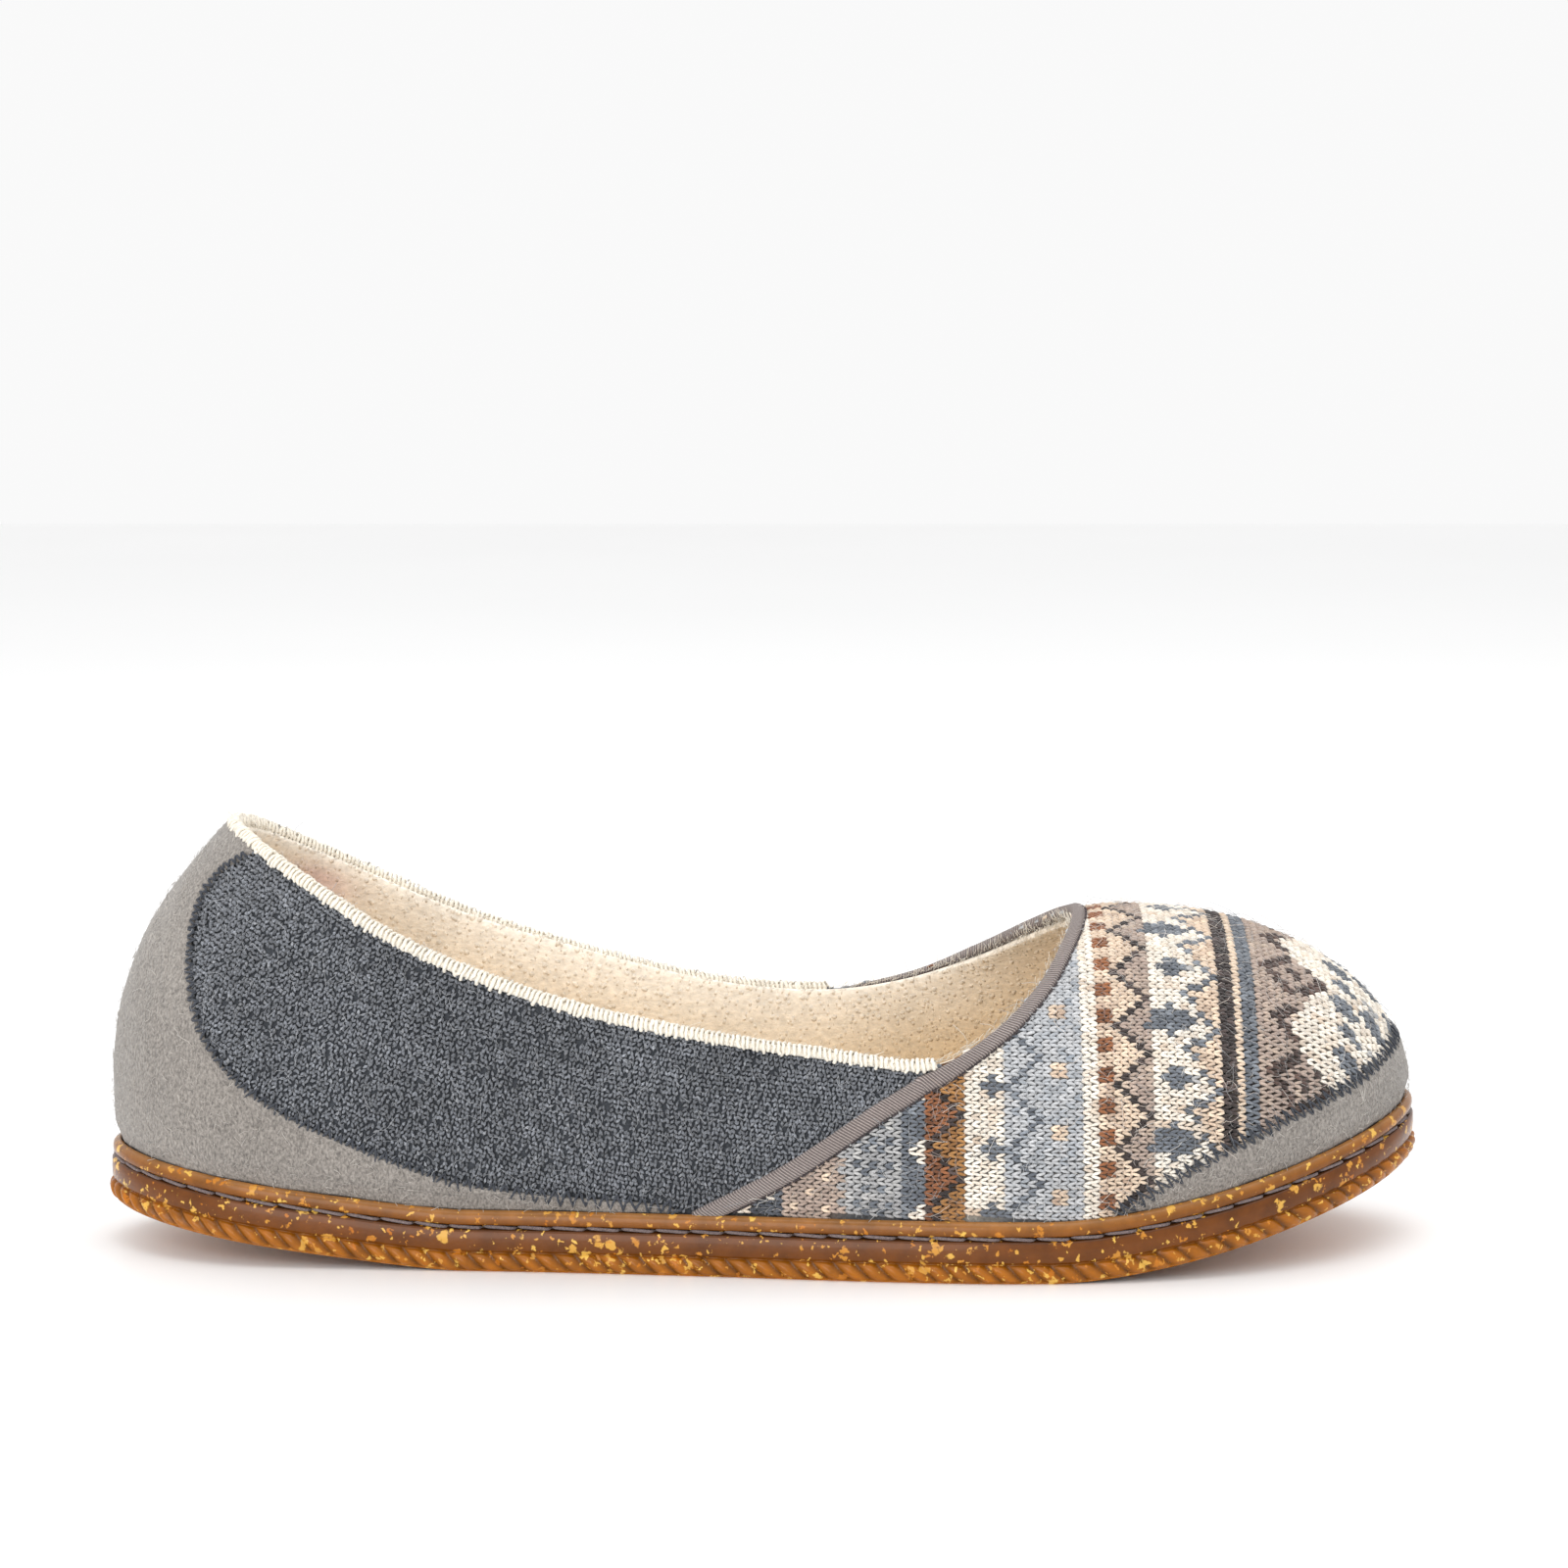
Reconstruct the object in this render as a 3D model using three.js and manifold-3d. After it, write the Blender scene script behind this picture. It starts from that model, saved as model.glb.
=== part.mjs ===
// Knit ballet slipper, right foot, lying in millimetres with +X to the toe, +Y to the inner side and +Z up.
// Every piece is worked out from one shape: a table of sections round the foot, from the rim of the cup
// sole up to the collar. A place on the upper is a station u round that table and a height h, 0 at the
// rim and 1 at the collar, so whatever lies on the upper follows it when a size changes.
import * as THREE from "three";
import { mergeVertices } from "three/addons/utils/BufferGeometryUtils.js";
import Module from "manifold-3d";

const wasm = await Module();
wasm.setup();

// Driving sizes
const LENGTH = 264; // cup sole from its rearmost to its foremost point
const BALL_WIDTH = 95; // cup sole across the ball of the foot
const SOLE_HEIGHT = 12; // floor to the rim of the cup
const HEEL_RISE = 72; // rim to the collar at the back of the heel
const INSTEP_RISE = 53.4; // rim to the end of the throat
const TOE_SPRING = 17.5; // lift of the sole's underside at the toe
const HEEL_SPRING = 9; // lift of the sole's underside at the back
const TOE_BREAK = 0.71; // share of the length where the toe starts to lift
const HEEL_BREAK = 0.275; // share of the length where the heel starts to lift
const TOE_CURVE = 1.6; // how late the toe's lift comes
const HEEL_CURVE = 1.25; // how late the heel's lift comes
const WALL = 3; // knit and fleece lining together
const CLEARANCE = 0.3; // between pieces that touch
const RIM_STEP = 2.6; // outermost edge of the sole to the cup's inner wall
const CUP_TAPER = 1.4; // how far the cup's wall leans in on its way down to the floor
const CUP_FLOOR = 4.5; // underside to the floor inside the cup
const INSOLE_THICKNESS = 3;
const SUEDE_THICKNESS = 1.3; // thickness of the heel counter and toe bumper
const TAPE_THICKNESS = 1.2; // thickness of the binding
const TAPE_WIDTH = 4.2;
const EDGING_THICKNESS = 1.2; // thickness of the collar's edging
const EDGING_DEPTH = 4.5; // reach of the edging down the outside
const EDGING_INSIDE = 3; // reach of the edging down the lining
const RIM_GAP = 3 * CLEARANCE; // rim of the cup to the panels on the upper, which lean out over it
const TAPE_GAP = 2 * CLEARANCE; // end of the edging to the side of the binding, which crosses it at a slant
const SLAB_SPARE = 2; // how far a cutting slab stands out of what it cuts
const BEAD_PITCH = 4.2; // one bead of the rope round the foot of the sole
const BEAD_DEPTH = 0.9; // crest of a bead to the notch beside it

// How finely the forms are faceted
const COLUMNS_PER_SECTION = 4;
const CROSS_STEPS = 3; // steps across the underside, the cup's floor and the insole
const OUTER_HEIGHTS = [0, 0.1, 0.22, 0.35, 0.5, 0.65, 0.8, 0.92, 1];
const INNER_HEIGHTS = [1, 0.88, 0.66, 0.4, 0.15];

// Sections round the foot: from the back of the heel along the outer side to the toe and home again.
// along and side give the sole's outline, as shares of the length and of half the ball width.
// topAlong, topSide and lift give the collar, lift as a share of the rise there. The wall leaves the rim
// leaning out by flare degrees and meets the collar at topSlope degrees; the pulls, shares of the straight
// distance, say how long it keeps to each.
const SECTION_COLUMNS = ["along", "side", "topAlong", "topSide", "lift", "flare", "lowPull", "topSlope", "topPull"];
const SECTIONS = [
  [0, 0, 0.0985, 0, 1, 8, 0.5, 46, 0.25], // heel back
  [0.028, -0.38, 0.112, -0.22, 0.978, 8, 0.48, 50, 0.25], // heel outer
  [0.1, -0.64, 0.158, -0.475, 0.898, 8, 0.42, 66, 0.28], // heel side
  [0.21, -0.72, 0.24, -0.62, 0.743, 8, 0.38, 76, 0.3], // quarter rear
  [0.34, -0.78, 0.345, -0.7, 0.617, 8, 0.38, 80, 0.3], // quarter
  [0.46, -0.86, 0.45, -0.762, 0.546, 8, 0.38, 78, 0.3], // waist
  [0.57, -0.95, 0.545, -0.8, 0.506, 8, 0.38, 74, 0.3], // joint rear
  [0.67, -1, 0.622, -0.81, 0.487, 8, 0.4, 66, 0.32], // joint
  [0.76, -0.97, 0.668, -0.72, 0.598, 8, 0.4, 42, 0.38], // toe side
  [0.85, -0.83, 0.702, -0.56, 0.751, 9, 0.38, 11, 0.36], // toe corner
  [0.93, -0.57, 0.722, -0.37, 0.894, 9, 0.34, -8, 0.32], // toe outer
  [0.98, -0.26, 0.732, -0.17, 0.972, 9, 0.32, -16, 0.29], // toe near tip
  [1, 0.1, 0.734, 0.02, 1, 9, 0.32, -18, 0.29], // toe tip
  [0.98, 0.46, 0.727, 0.2, 0.972, 9, 0.32, -16, 0.29], // toe inner tip
  [0.92, 0.73, 0.704, 0.42, 0.876, 9, 0.35, -8, 0.32], // toe inner
  [0.83, 0.92, 0.665, 0.62, 0.739, 9, 0.4, 11, 0.36], // toe inner side
  [0.73, 1, 0.613, 0.735, 0.614, 8, 0.42, 45, 0.38], // inner joint
  [0.62, 0.93, 0.55, 0.782, 0.538, 8, 0.38, 66, 0.32], // inner rear
  [0.5, 0.79, 0.47, 0.743, 0.541, 8, 0.38, 76, 0.3], // inner waist
  [0.38, 0.69, 0.375, 0.67, 0.615, 8, 0.38, 80, 0.3], // inner quarter
  [0.26, 0.67, 0.275, 0.62, 0.722, 8, 0.38, 78, 0.3], // inner breast
  [0.14, 0.66, 0.185, 0.53, 0.856, 8, 0.4, 70, 0.28], // inner heel
  [0.034, 0.41, 0.118, 0.27, 0.968, 8, 0.46, 54, 0.25], // heel inner
].map((row) => Object.fromEntries(row.map((value, k) => [SECTION_COLUMNS[k], value])));
const STATIONS = SECTIONS.length;
const COLUMNS = STATIONS * COLUMNS_PER_SECTION;

// Panel lines on the upper, each point a station u and a height h.
// The heel counter reaches forward as far as u on the outer side, and as its share on the inner side.
const COUNTER_EDGE = [
  { h: 0, u: 4.5 },
  { h: 0.042, u: 4.2 },
  { h: 0.065, u: 3.92 },
  { h: 0.088, u: 3.55 },
  { h: 0.12, u: 3.12 },
  { h: 0.155, u: 2.76 },
  { h: 0.2, u: 2.43 },
  { h: 0.25, u: 2.13 },
  { h: 0.31, u: 1.86 },
  { h: 0.375, u: 1.64 },
  { h: 0.46, u: 1.45 },
  { h: 0.54, u: 1.29 },
  { h: 0.63, u: 1.13 },
  { h: 0.735, u: 0.99 },
  { h: 0.84, u: 1 },
  { h: 1, u: 1.3 },
];
const COUNTER_INNER_SHARE = 0.88;
// The toe bumper reaches up to h between its two ends at the rim.
const BUMPER_EDGE = [
  { u: 7.95, h: 0 },
  { u: 8.16, h: 0.04 },
  { u: 8.5, h: 0.095 },
  { u: 8.94, h: 0.135 },
  { u: 9.42, h: 0.15 },
  { u: 10.4, h: 0.153 },
  { u: 11.2, h: 0.165 },
  { u: 12, h: 0.178 },
  { u: 12.8, h: 0.178 },
  { u: 13.6, h: 0.165 },
  { u: 14.5, h: 0.15 },
  { u: 15, h: 0.135 },
  { u: 15.4, h: 0.095 },
  { u: 15.7, h: 0.04 },
  { u: 15.9, h: 0 },
];
// The binding runs down both sides of the vamp, here by its middle line.
const BINDING_OUTER = [
  { h: 0, u: 4.98 },
  { h: 0.1, u: 5.22 },
  { h: 0.22, u: 5.49 },
  { h: 0.42, u: 5.87 },
  { h: 0.665, u: 6.34 },
  { h: 0.935, u: 6.96 },
  { h: 1, u: 7.14 },
];
const BINDING_INNER = [
  { h: 0, u: 18.95 },
  { h: 0.1, u: 18.72 },
  { h: 0.22, u: 18.46 },
  { h: 0.42, u: 18.1 },
  { h: 0.665, u: 17.66 },
  { h: 0.935, u: 17.1 },
  { h: 1, u: 16.94 },
];

// The sole's side, from under the edge up over the rim: in, a share of the rim's step, measured inwards
// from the outermost edge; up, a share of the sole's height. The rope of beads comes first, then the
// neck, the recessed band, the groove for the seam and the lip.
const ROPE_ROWS = [
  { name: "rope low", in: 0.12, up: 0.07 },
  { name: "rope crest", in: 0, up: 0.2 },
  { name: "rope high", in: 0.14, up: 0.33 },
];
const SIDE_ROWS = [
  { name: "neck", in: 0.52, up: 0.39 },
  { name: "band low", in: 0.34, up: 0.43 },
  { name: "band high", in: 0.34, up: 0.63 },
  { name: "groove", in: 0.6, up: 0.68 },
  { name: "lip low", in: 0.34, up: 0.74 },
  { name: "lip middle", in: 0.24, up: 0.86 },
  { name: "rim outer", in: 0.5, up: 0.98 },
  { name: "rim inner", in: 0.92, up: 1 },
];
const WALL_TOP_UP = 0.97; // share of the sole's height where the cup's wall starts under the rim
const UNDERSIDE_IN = 0.46; // share of the rim's step where the flat underside starts

const NUDGE = 1e-3; // step in u or h for measuring a direction

const radians = THREE.MathUtils.degToRad;
const vec = (x, y, z) => new THREE.Vector3(x, y, z);
const spread = (from, to, count) =>
  Array.from({ length: count + 1 }, (_, k) => THREE.MathUtils.lerp(from, to, k / count));

// Smooth value of one column of the sections' table at station u, through every row
function section(u, column) {
  const first = Math.floor(u);
  const t = u - first;
  const value = (step) => SECTIONS[(((first + step) % STATIONS) + STATIONS) % STATIONS][column];
  const [a, b, c, d] = [value(-1), value(0), value(1), value(2)];
  return 0.5 * (2 * b + (c - a) * t + (2 * a - 5 * b + 4 * c - d) * t ** 2 + (3 * b - a - 3 * c + d) * t ** 3);
}

// Straight-line value of a panel line's column to at the given value of its column from
function along(table, from, to, value) {
  const last = table.length - 1;
  const rising = table[last][from] > table[0][from];
  let i = 0;
  while (i < last - 1 && (rising ? value > table[i + 1][from] : value < table[i + 1][from])) i += 1;
  const t = THREE.MathUtils.clamp((value - table[i][from]) / (table[i + 1][from] - table[i][from]), 0, 1);
  return THREE.MathUtils.lerp(table[i][to], table[i + 1][to], t);
}

// Lift of the sole's underside above the floor
function spring(x) {
  const share = x / LENGTH;
  const toe = Math.max(0, (share - TOE_BREAK) / (1 - TOE_BREAK));
  const heel = Math.max(0, (HEEL_BREAK - share) / HEEL_BREAK);
  return TOE_SPRING * toe ** TOE_CURVE + HEEL_SPRING * heel ** HEEL_CURVE;
}

function outline(u) {
  return vec(section(u, "along") * LENGTH, (section(u, "side") * BALL_WIDTH) / 2, 0);
}

// Level direction out of the outline
function outward(u) {
  const run = outline(u + NUDGE).sub(outline(u - NUDGE)).normalize();
  return vec(run.y, -run.x, 0);
}

// Point inset from the sole's outermost edge, at a height above the sole's underside
function edgePoint(u, inset, height) {
  const p = outline(u).addScaledVector(outward(u), -inset);
  p.z = spring(p.x) + height;
  return p;
}

// Outer face of the upper: a curve from the rim of the cup to the collar
function skin(u, h) {
  const rim = edgePoint(u, RIM_STEP + CLEARANCE, SOLE_HEIGHT);
  const rise = THREE.MathUtils.lerp(HEEL_RISE, INSTEP_RISE, section(u, "along"));
  const top = vec(section(u, "topAlong") * LENGTH, (section(u, "topSide") * BALL_WIDTH) / 2, 0);
  top.z = SOLE_HEIGHT + rise * section(u, "lift");
  const reach = top.distanceTo(rim);
  const flare = radians(section(u, "flare"));
  const slope = radians(section(u, "topSlope"));
  const low = outward(u).multiplyScalar(Math.sin(flare)).add(vec(0, 0, Math.cos(flare)));
  const away = vec(rim.x - top.x, rim.y - top.y, 0).normalize().multiplyScalar(Math.cos(slope));
  away.z = -Math.sin(slope);
  const lowHandle = rim.clone().addScaledVector(low, reach * section(u, "lowPull"));
  const topHandle = top.clone().addScaledVector(away, reach * section(u, "topPull"));
  return new THREE.CubicBezierCurve3(rim, lowHandle, topHandle, top).getPoint(h);
}

// Directions of the skin: round it, up it and out of it
function skinFrame(u, h) {
  const low = Math.max(0, h - NUDGE);
  const high = Math.min(1, h + NUDGE);
  const round = skin(u + NUDGE, h).sub(skin(u - NUDGE, h)).divideScalar(2 * NUDGE);
  const up = skin(u, high).sub(skin(u, low)).divideScalar(high - low);
  const out = round.clone().cross(up).normalize();
  return { round, up, out };
}

// Point at a distance off the skin
function layer(u, h, off) {
  return skin(u, h).addScaledVector(skinFrame(u, h).out, off);
}

// Height h that lies a distance below the collar
function belowCollar(u, distance) {
  return 1 - distance / skinFrame(u, 1).up.length();
}

// Height h of a point a little above the rim
function aboveRim(u, distance) {
  return distance / skinFrame(u, 0).up.z;
}

// Half the binding's width at height h, counted in stations
function tapeHalf(path, h) {
  const step = 1e-2;
  const u = along(path, "h", "u", h);
  const run = along(path, "h", "u", Math.min(1, h + step)) - along(path, "h", "u", Math.max(0, h - step));
  const rise = Math.min(1, h + step) - Math.max(0, h - step);
  const { round, up } = skinFrame(u, h);
  const line = round.clone().multiplyScalar(run / rise).add(up);
  return ((TAPE_WIDTH / 2) * line.length()) / round.clone().cross(line).length();
}

// Triangles of one piece
class Facets {
  constructor() {
    this.points = [];
  }

  triangle(a, b, c) {
    this.points.push(a, b, c);
  }

  quad(a, b, c, d) {
    this.triangle(a, b, c);
    this.triangle(a, c, d);
  }

  // Strip between two rows of as many points
  strip(low, high, closed) {
    const count = closed ? low.length : low.length - 1;
    for (let i = 0; i < count; i += 1) {
      const j = (i + 1) % low.length;
      this.quad(low[i], low[j], high[j], high[i]);
    }
  }

  // Strip between two closed rows with different numbers of evenly spaced points
  zip(low, high) {
    let [i, j] = [0, 0];
    while (i < low.length || j < high.length) {
      const lowNext = low[(i + 1) % low.length];
      const highNext = high[(j + 1) % high.length];
      if ((i + 1) / low.length <= (j + 1) / high.length) {
        this.triangle(low[i % low.length], lowNext, high[j % high.length]);
        i += 1;
      } else {
        this.triangle(low[i % low.length], highNext, high[j % high.length]);
        j += 1;
      }
    }
  }

  // Closes a ring that runs round the foot, by rows across it at the heights under(x)
  across(ring, under, facingUp) {
    const rows = Array.from({ length: ring.length / 2 + 1 }, (_, i) => {
      const far = ring[(ring.length - i) % ring.length];
      const inside = spread(0, 1, CROSS_STEPS).slice(1, -1).map((share) => {
        const p = ring[i].clone().lerp(far, share);
        p.z = under(p.x);
        return p;
      });
      return [ring[i], ...inside, far];
    });
    for (let i = 0; i + 1 < rows.length; i += 1) {
      if (facingUp) this.strip(rows[i + 1], rows[i], false);
      else this.strip(rows[i], rows[i + 1], false);
    }
  }

  geometry() {
    const flat = new THREE.BufferGeometry().setFromPoints(this.points);
    const merged = mergeVertices(flat, 1e-4);
    const { array } = merged.attributes.position;
    const index = Array.from(merged.index.array);
    const kept = [];
    for (let i = 0; i < index.length; i += 3) {
      const [a, b, c] = index.slice(i, i + 3);
      if (a !== b && b !== c && c !== a) kept.push(a, b, c);
    }
    const at = (i) => vec(array[3 * i], array[3 * i + 1], array[3 * i + 2]);
    let volume = 0;
    for (let i = 0; i < kept.length; i += 3) {
      volume += at(kept[i]).dot(at(kept[i + 1]).cross(at(kept[i + 2])));
    }
    merged.setIndex(volume < 0 ? kept.reverse() : kept);
    return merged;
  }
}

function toSolid(geometry) {
  const vertProperties = geometry.attributes.position.array;
  const triVerts = Uint32Array.from(geometry.index.array);
  return new wasm.Manifold(new wasm.Mesh({ numProp: 3, vertProperties, triVerts }));
}

function fromSolid(solid) {
  const mesh = solid.getMesh();
  const geometry = new THREE.BufferGeometry();
  geometry.setAttribute("position", new THREE.BufferAttribute(mesh.vertProperties, 3));
  geometry.setIndex(Array.from(mesh.triVerts));
  return geometry;
}

const columnStations = (count) => Array.from({ length: count }, (_, i) => (i * STATIONS) / count);

// Cup sole of gum rubber: underside, rope of slanted beads, banded side, rim and cup
function outsole() {
  const facets = new Facets();
  const stations = columnStations(COLUMNS);
  const perimeter = stations.reduce((sum, u) => sum + outline(u).distanceTo(outline(u + STATIONS / COLUMNS)), 0);
  const fine = columnStations(2 * Math.round(perimeter / BEAD_PITCH));
  const ring = ({ in: inset, up }) => stations.map((u) => edgePoint(u, inset * RIM_STEP, up * SOLE_HEIGHT));
  const underside = stations.map((u) => edgePoint(u, UNDERSIDE_IN * RIM_STEP, 0));
  const rope = ROPE_ROWS.map((row, k) =>
    fine.map((u, j) => {
      const notch = (j + k) % 2 === 0 ? 0 : BEAD_DEPTH;
      return edgePoint(u, row.in * RIM_STEP + notch, row.up * SOLE_HEIGHT);
    }),
  );
  const side = SIDE_ROWS.map(ring);
  const wallFoot = stations.map((u) => edgePoint(u, RIM_STEP + CUP_TAPER, CUP_FLOOR));
  const wallTop = stations.map((u) => edgePoint(u, RIM_STEP, SOLE_HEIGHT * WALL_TOP_UP));
  facets.across(underside, spring, false);
  facets.zip(underside, rope[0]);
  for (let k = 0; k + 1 < rope.length; k += 1) facets.strip(rope[k], rope[k + 1], true);
  facets.zip(rope[rope.length - 1], side[0]);
  for (let k = 0; k + 1 < side.length; k += 1) facets.strip(side[k], side[k + 1], true);
  facets.strip(side[side.length - 1], wallTop, true);
  facets.strip(wallTop, wallFoot, true);
  facets.across(wallFoot, (x) => spring(x) + CUP_FLOOR, true);
  return facets.geometry();
}

// Upper: one wall of knit and lining, tucked into the cup and open at the collar and underneath
function upper() {
  const facets = new Facets();
  const stations = columnStations(COLUMNS);
  const seat = CUP_FLOOR + CLEARANCE;
  const cupWall = (u, height, off) => {
    const down = (SOLE_HEIGHT - height) / (SOLE_HEIGHT - CUP_FLOOR);
    return edgePoint(u, RIM_STEP + CLEARANCE + CUP_TAPER * down + off, height);
  };
  const rings = [
    stations.map((u) => cupWall(u, seat, 0)),
    ...OUTER_HEIGHTS.map((h) => stations.map((u) => skin(u, h))),
    ...INNER_HEIGHTS.map((h) => stations.map((u) => layer(u, h, -WALL))),
    stations.map((u) => cupWall(u, SOLE_HEIGHT, WALL)),
    stations.map((u) => cupWall(u, seat, WALL)),
  ];
  rings.forEach((ring, k) => facets.strip(ring, rings[(k + 1) % rings.length], true));
  return facets.geometry();
}

// Footbed lying in the cup, inside the upper's tucked edge
function insole() {
  const facets = new Facets();
  const stations = columnStations(COLUMNS / 2);
  const inset = RIM_STEP + CUP_TAPER + CLEARANCE + WALL + CLEARANCE;
  const low = CUP_FLOOR + CLEARANCE;
  const high = low + INSOLE_THICKNESS;
  const bottom = stations.map((u) => edgePoint(u, inset, low));
  const top = stations.map((u) => edgePoint(u, inset, high));
  facets.across(bottom, (x) => spring(x) + low, false);
  facets.strip(bottom, top, true);
  facets.across(top, (x) => spring(x) + high, true);
  return facets.geometry();
}

// Closed form between two distances off the upper, over the places of a grid.
// grid[i][k] is a place { u, h } on the upper: rows run one way, places along a row the other.
function slab(grid, near, far) {
  const facets = new Facets();
  const inner = grid.map((row) => row.map(({ u, h }) => layer(u, h, near)));
  const outer = grid.map((row) => row.map(({ u, h }) => layer(u, h, far)));
  const lastRow = grid.length - 1;
  for (let i = 0; i < lastRow; i += 1) {
    facets.strip(outer[i], outer[i + 1], false);
    facets.strip(inner[i + 1], inner[i], false);
    const end = grid[i].length - 1;
    facets.quad(inner[i][0], outer[i][0], outer[i + 1][0], inner[i + 1][0]);
    facets.quad(outer[i][end], inner[i][end], inner[i + 1][end], outer[i + 1][end]);
  }
  facets.strip(inner[0], outer[0], false);
  facets.strip(outer[lastRow], inner[lastRow], false);
  return toSolid(facets.geometry());
}

// Band of a thickness that lies a clearance off the whole upper, faceted in step with it
function band(thickness) {
  const facets = new Facets();
  const ring = (h, off) => columnStations(COLUMNS).map((u) => layer(u, h, off));
  const rings = [
    ...OUTER_HEIGHTS.map((h) => ring(h, CLEARANCE)).reverse(),
    ...OUTER_HEIGHTS.map((h) => ring(h, CLEARANCE + thickness)),
  ];
  rings.forEach((each, k) => facets.strip(each, rings[(k + 1) % rings.length], true));
  return toSolid(facets.geometry());
}

// Panel laid on the upper: what a thicker slab with the panel's outline cuts from the band
function panel(grid, thickness) {
  return band(thickness).intersect(slab(grid, CLEARANCE - SLAB_SPARE, CLEARANCE + thickness + SLAB_SPARE));
}

// Suede counter round the heel, reaching forward low on both sides
function heelCounter() {
  const rows = 12;
  const places = 10;
  const crowding = 1.5; // how much closer the rows lie near the rim, where the edge bends most
  const grid = spread(0, 1, rows).map((share) =>
    spread(-1, 1, places).map((across) => {
      const level = share ** crowding;
      const reach = along(COUNTER_EDGE, "h", "u", THREE.MathUtils.lerp(aboveRim(0, RIM_GAP), 1, level));
      const u = across * reach * (across < 0 ? COUNTER_INNER_SHARE : 1);
      const top = belowCollar(u, EDGING_DEPTH + CLEARANCE);
      return { u, h: THREE.MathUtils.lerp(aboveRim(u, RIM_GAP), top, level) };
    }),
  );
  return fromSolid(panel(grid, SUEDE_THICKNESS));
}

// Suede bumper round the toe
function toeBumper() {
  const rows = 1;
  const places = 28;
  const tip = 0.08; // the pointed ends are cut off this far in, in stations
  const thinnest = 0.01;
  const from = BUMPER_EDGE[0].u + tip;
  const to = BUMPER_EDGE[BUMPER_EDGE.length - 1].u - tip;
  const grid = spread(0, 1, rows).map((share) =>
    spread(from, to, places).map((u) => {
      const low = aboveRim(u, RIM_GAP);
      const high = Math.max(along(BUMPER_EDGE, "u", "h", u), low + thinnest);
      return { u, h: THREE.MathUtils.lerp(low, high, share) };
    }),
  );
  return fromSolid(panel(grid, SUEDE_THICKNESS));
}

// Stations from one end to the other that fall in step with the upper's columns between them
function inStep(from, to) {
  const spare = 0.4;
  const first = Math.ceil(from * COLUMNS_PER_SECTION + spare);
  const last = Math.floor(to * COLUMNS_PER_SECTION - spare);
  return Array.from({ length: last - first + 1 }, (_, k) => (first + k) / COLUMNS_PER_SECTION);
}

// Point of a collar section: off the skin by off, and below the collar by down (above it when negative)
function collarPoint(u, off, down) {
  if (down >= 0) return layer(u, belowCollar(u, down), off);
  const { up } = skinFrame(u, 1);
  return layer(u, 1, off).addScaledVector(up.normalize(), -down);
}

// Body swept round the collar. ends(down) gives the stations where a depth of its section begins and ends.
function collarSweep(shape, ends) {
  const all = shape.map(({ down }) => ends(down));
  const inner = inStep(Math.max(...all.map(([from]) => from)), Math.min(...all.map(([, to]) => to)));
  const ring = (stationOf) => shape.map(({ off, down }, k) => collarPoint(stationOf(k), off, down));
  const rings = [ring((k) => all[k][0]), ...inner.map((u) => ring(() => u)), ring((k) => all[k][1])];
  const facets = new Facets();
  for (let k = 0; k + 1 < rings.length; k += 1) facets.strip(rings[k], rings[k + 1], true);
  const faces = THREE.ShapeUtils.triangulateShape(shape.map(({ off, down }) => new THREE.Vector2(off, down)), []);
  const [first, last] = [rings[0], rings[rings.length - 1]];
  faces.forEach(([a, b, c]) => facets.triangle(first[a], first[b], first[c]));
  faces.forEach(([a, b, c]) => facets.triangle(last[a], last[c], last[b]));
  return facets.geometry();
}

// Twill tape over the throat's edge and down both sides of the vamp to the sole
function throatBinding() {
  const rise = 11;
  const tape = (path) => {
    const low = aboveRim(along(path, "h", "u", 0), RIM_GAP);
    const grid = spread(low, 1, rise).map((h) => {
      const middle = along(path, "h", "u", h);
      const half = tapeHalf(path, h);
      return spread(middle - half, middle + half, 2).map((u) => ({ u, h }));
    });
    return slab(grid, CLEARANCE, CLEARANCE + TAPE_THICKNESS);
  };
  const near = CLEARANCE;
  const far = CLEARANCE + TAPE_THICKNESS;
  const shape = [
    { off: near, down: TAPE_WIDTH },
    { off: far, down: TAPE_WIDTH },
    { off: far, down: 0 },
    { off: 0, down: -far },
    { off: -WALL / 2, down: -far },
    { off: -WALL / 2, down: -near },
    { off: near, down: -near },
  ];
  const from = along(BINDING_OUTER, "h", "u", 1);
  const to = along(BINDING_INNER, "h", "u", 1);
  const throat = collarSweep(shape, () => [from, to]);
  return fromSolid(tape(BINDING_OUTER).add(tape(BINDING_INNER)).add(toSolid(throat)));
}

// Edging over the rest of the collar, from one side of the binding round the heel to the other
function collarEdging() {
  const near = CLEARANCE;
  const far = CLEARANCE + EDGING_THICKNESS;
  const shape = [
    { off: near, down: EDGING_DEPTH },
    { off: far, down: EDGING_DEPTH },
    { off: far, down: 0 },
    { off: near, down: -far },
    { off: -WALL - near, down: -far },
    { off: -WALL - far, down: 0 },
    { off: -WALL - far, down: EDGING_INSIDE },
    { off: -WALL - near, down: EDGING_INSIDE },
    { off: -WALL - near, down: -near },
    { off: near, down: -near },
  ];
  // The end of the edging keeps to the side of the tape, a little off it, whatever the depth
  const meet = (path, side, down) => {
    let u = along(path, "h", "u", 1);
    for (let turn = 0; turn < 4; turn += 1) {
      const h = belowCollar(u, Math.max(0, down));
      const gap = TAPE_GAP / skinFrame(u, h).round.length();
      u = along(path, "h", "u", h) + side * (tapeHalf(path, h) + gap);
    }
    return u;
  };
  const ends = (down) => [meet(BINDING_INNER, 1, down), STATIONS + meet(BINDING_OUTER, -1, down)];
  return collarSweep(shape, ends);
}

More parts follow.
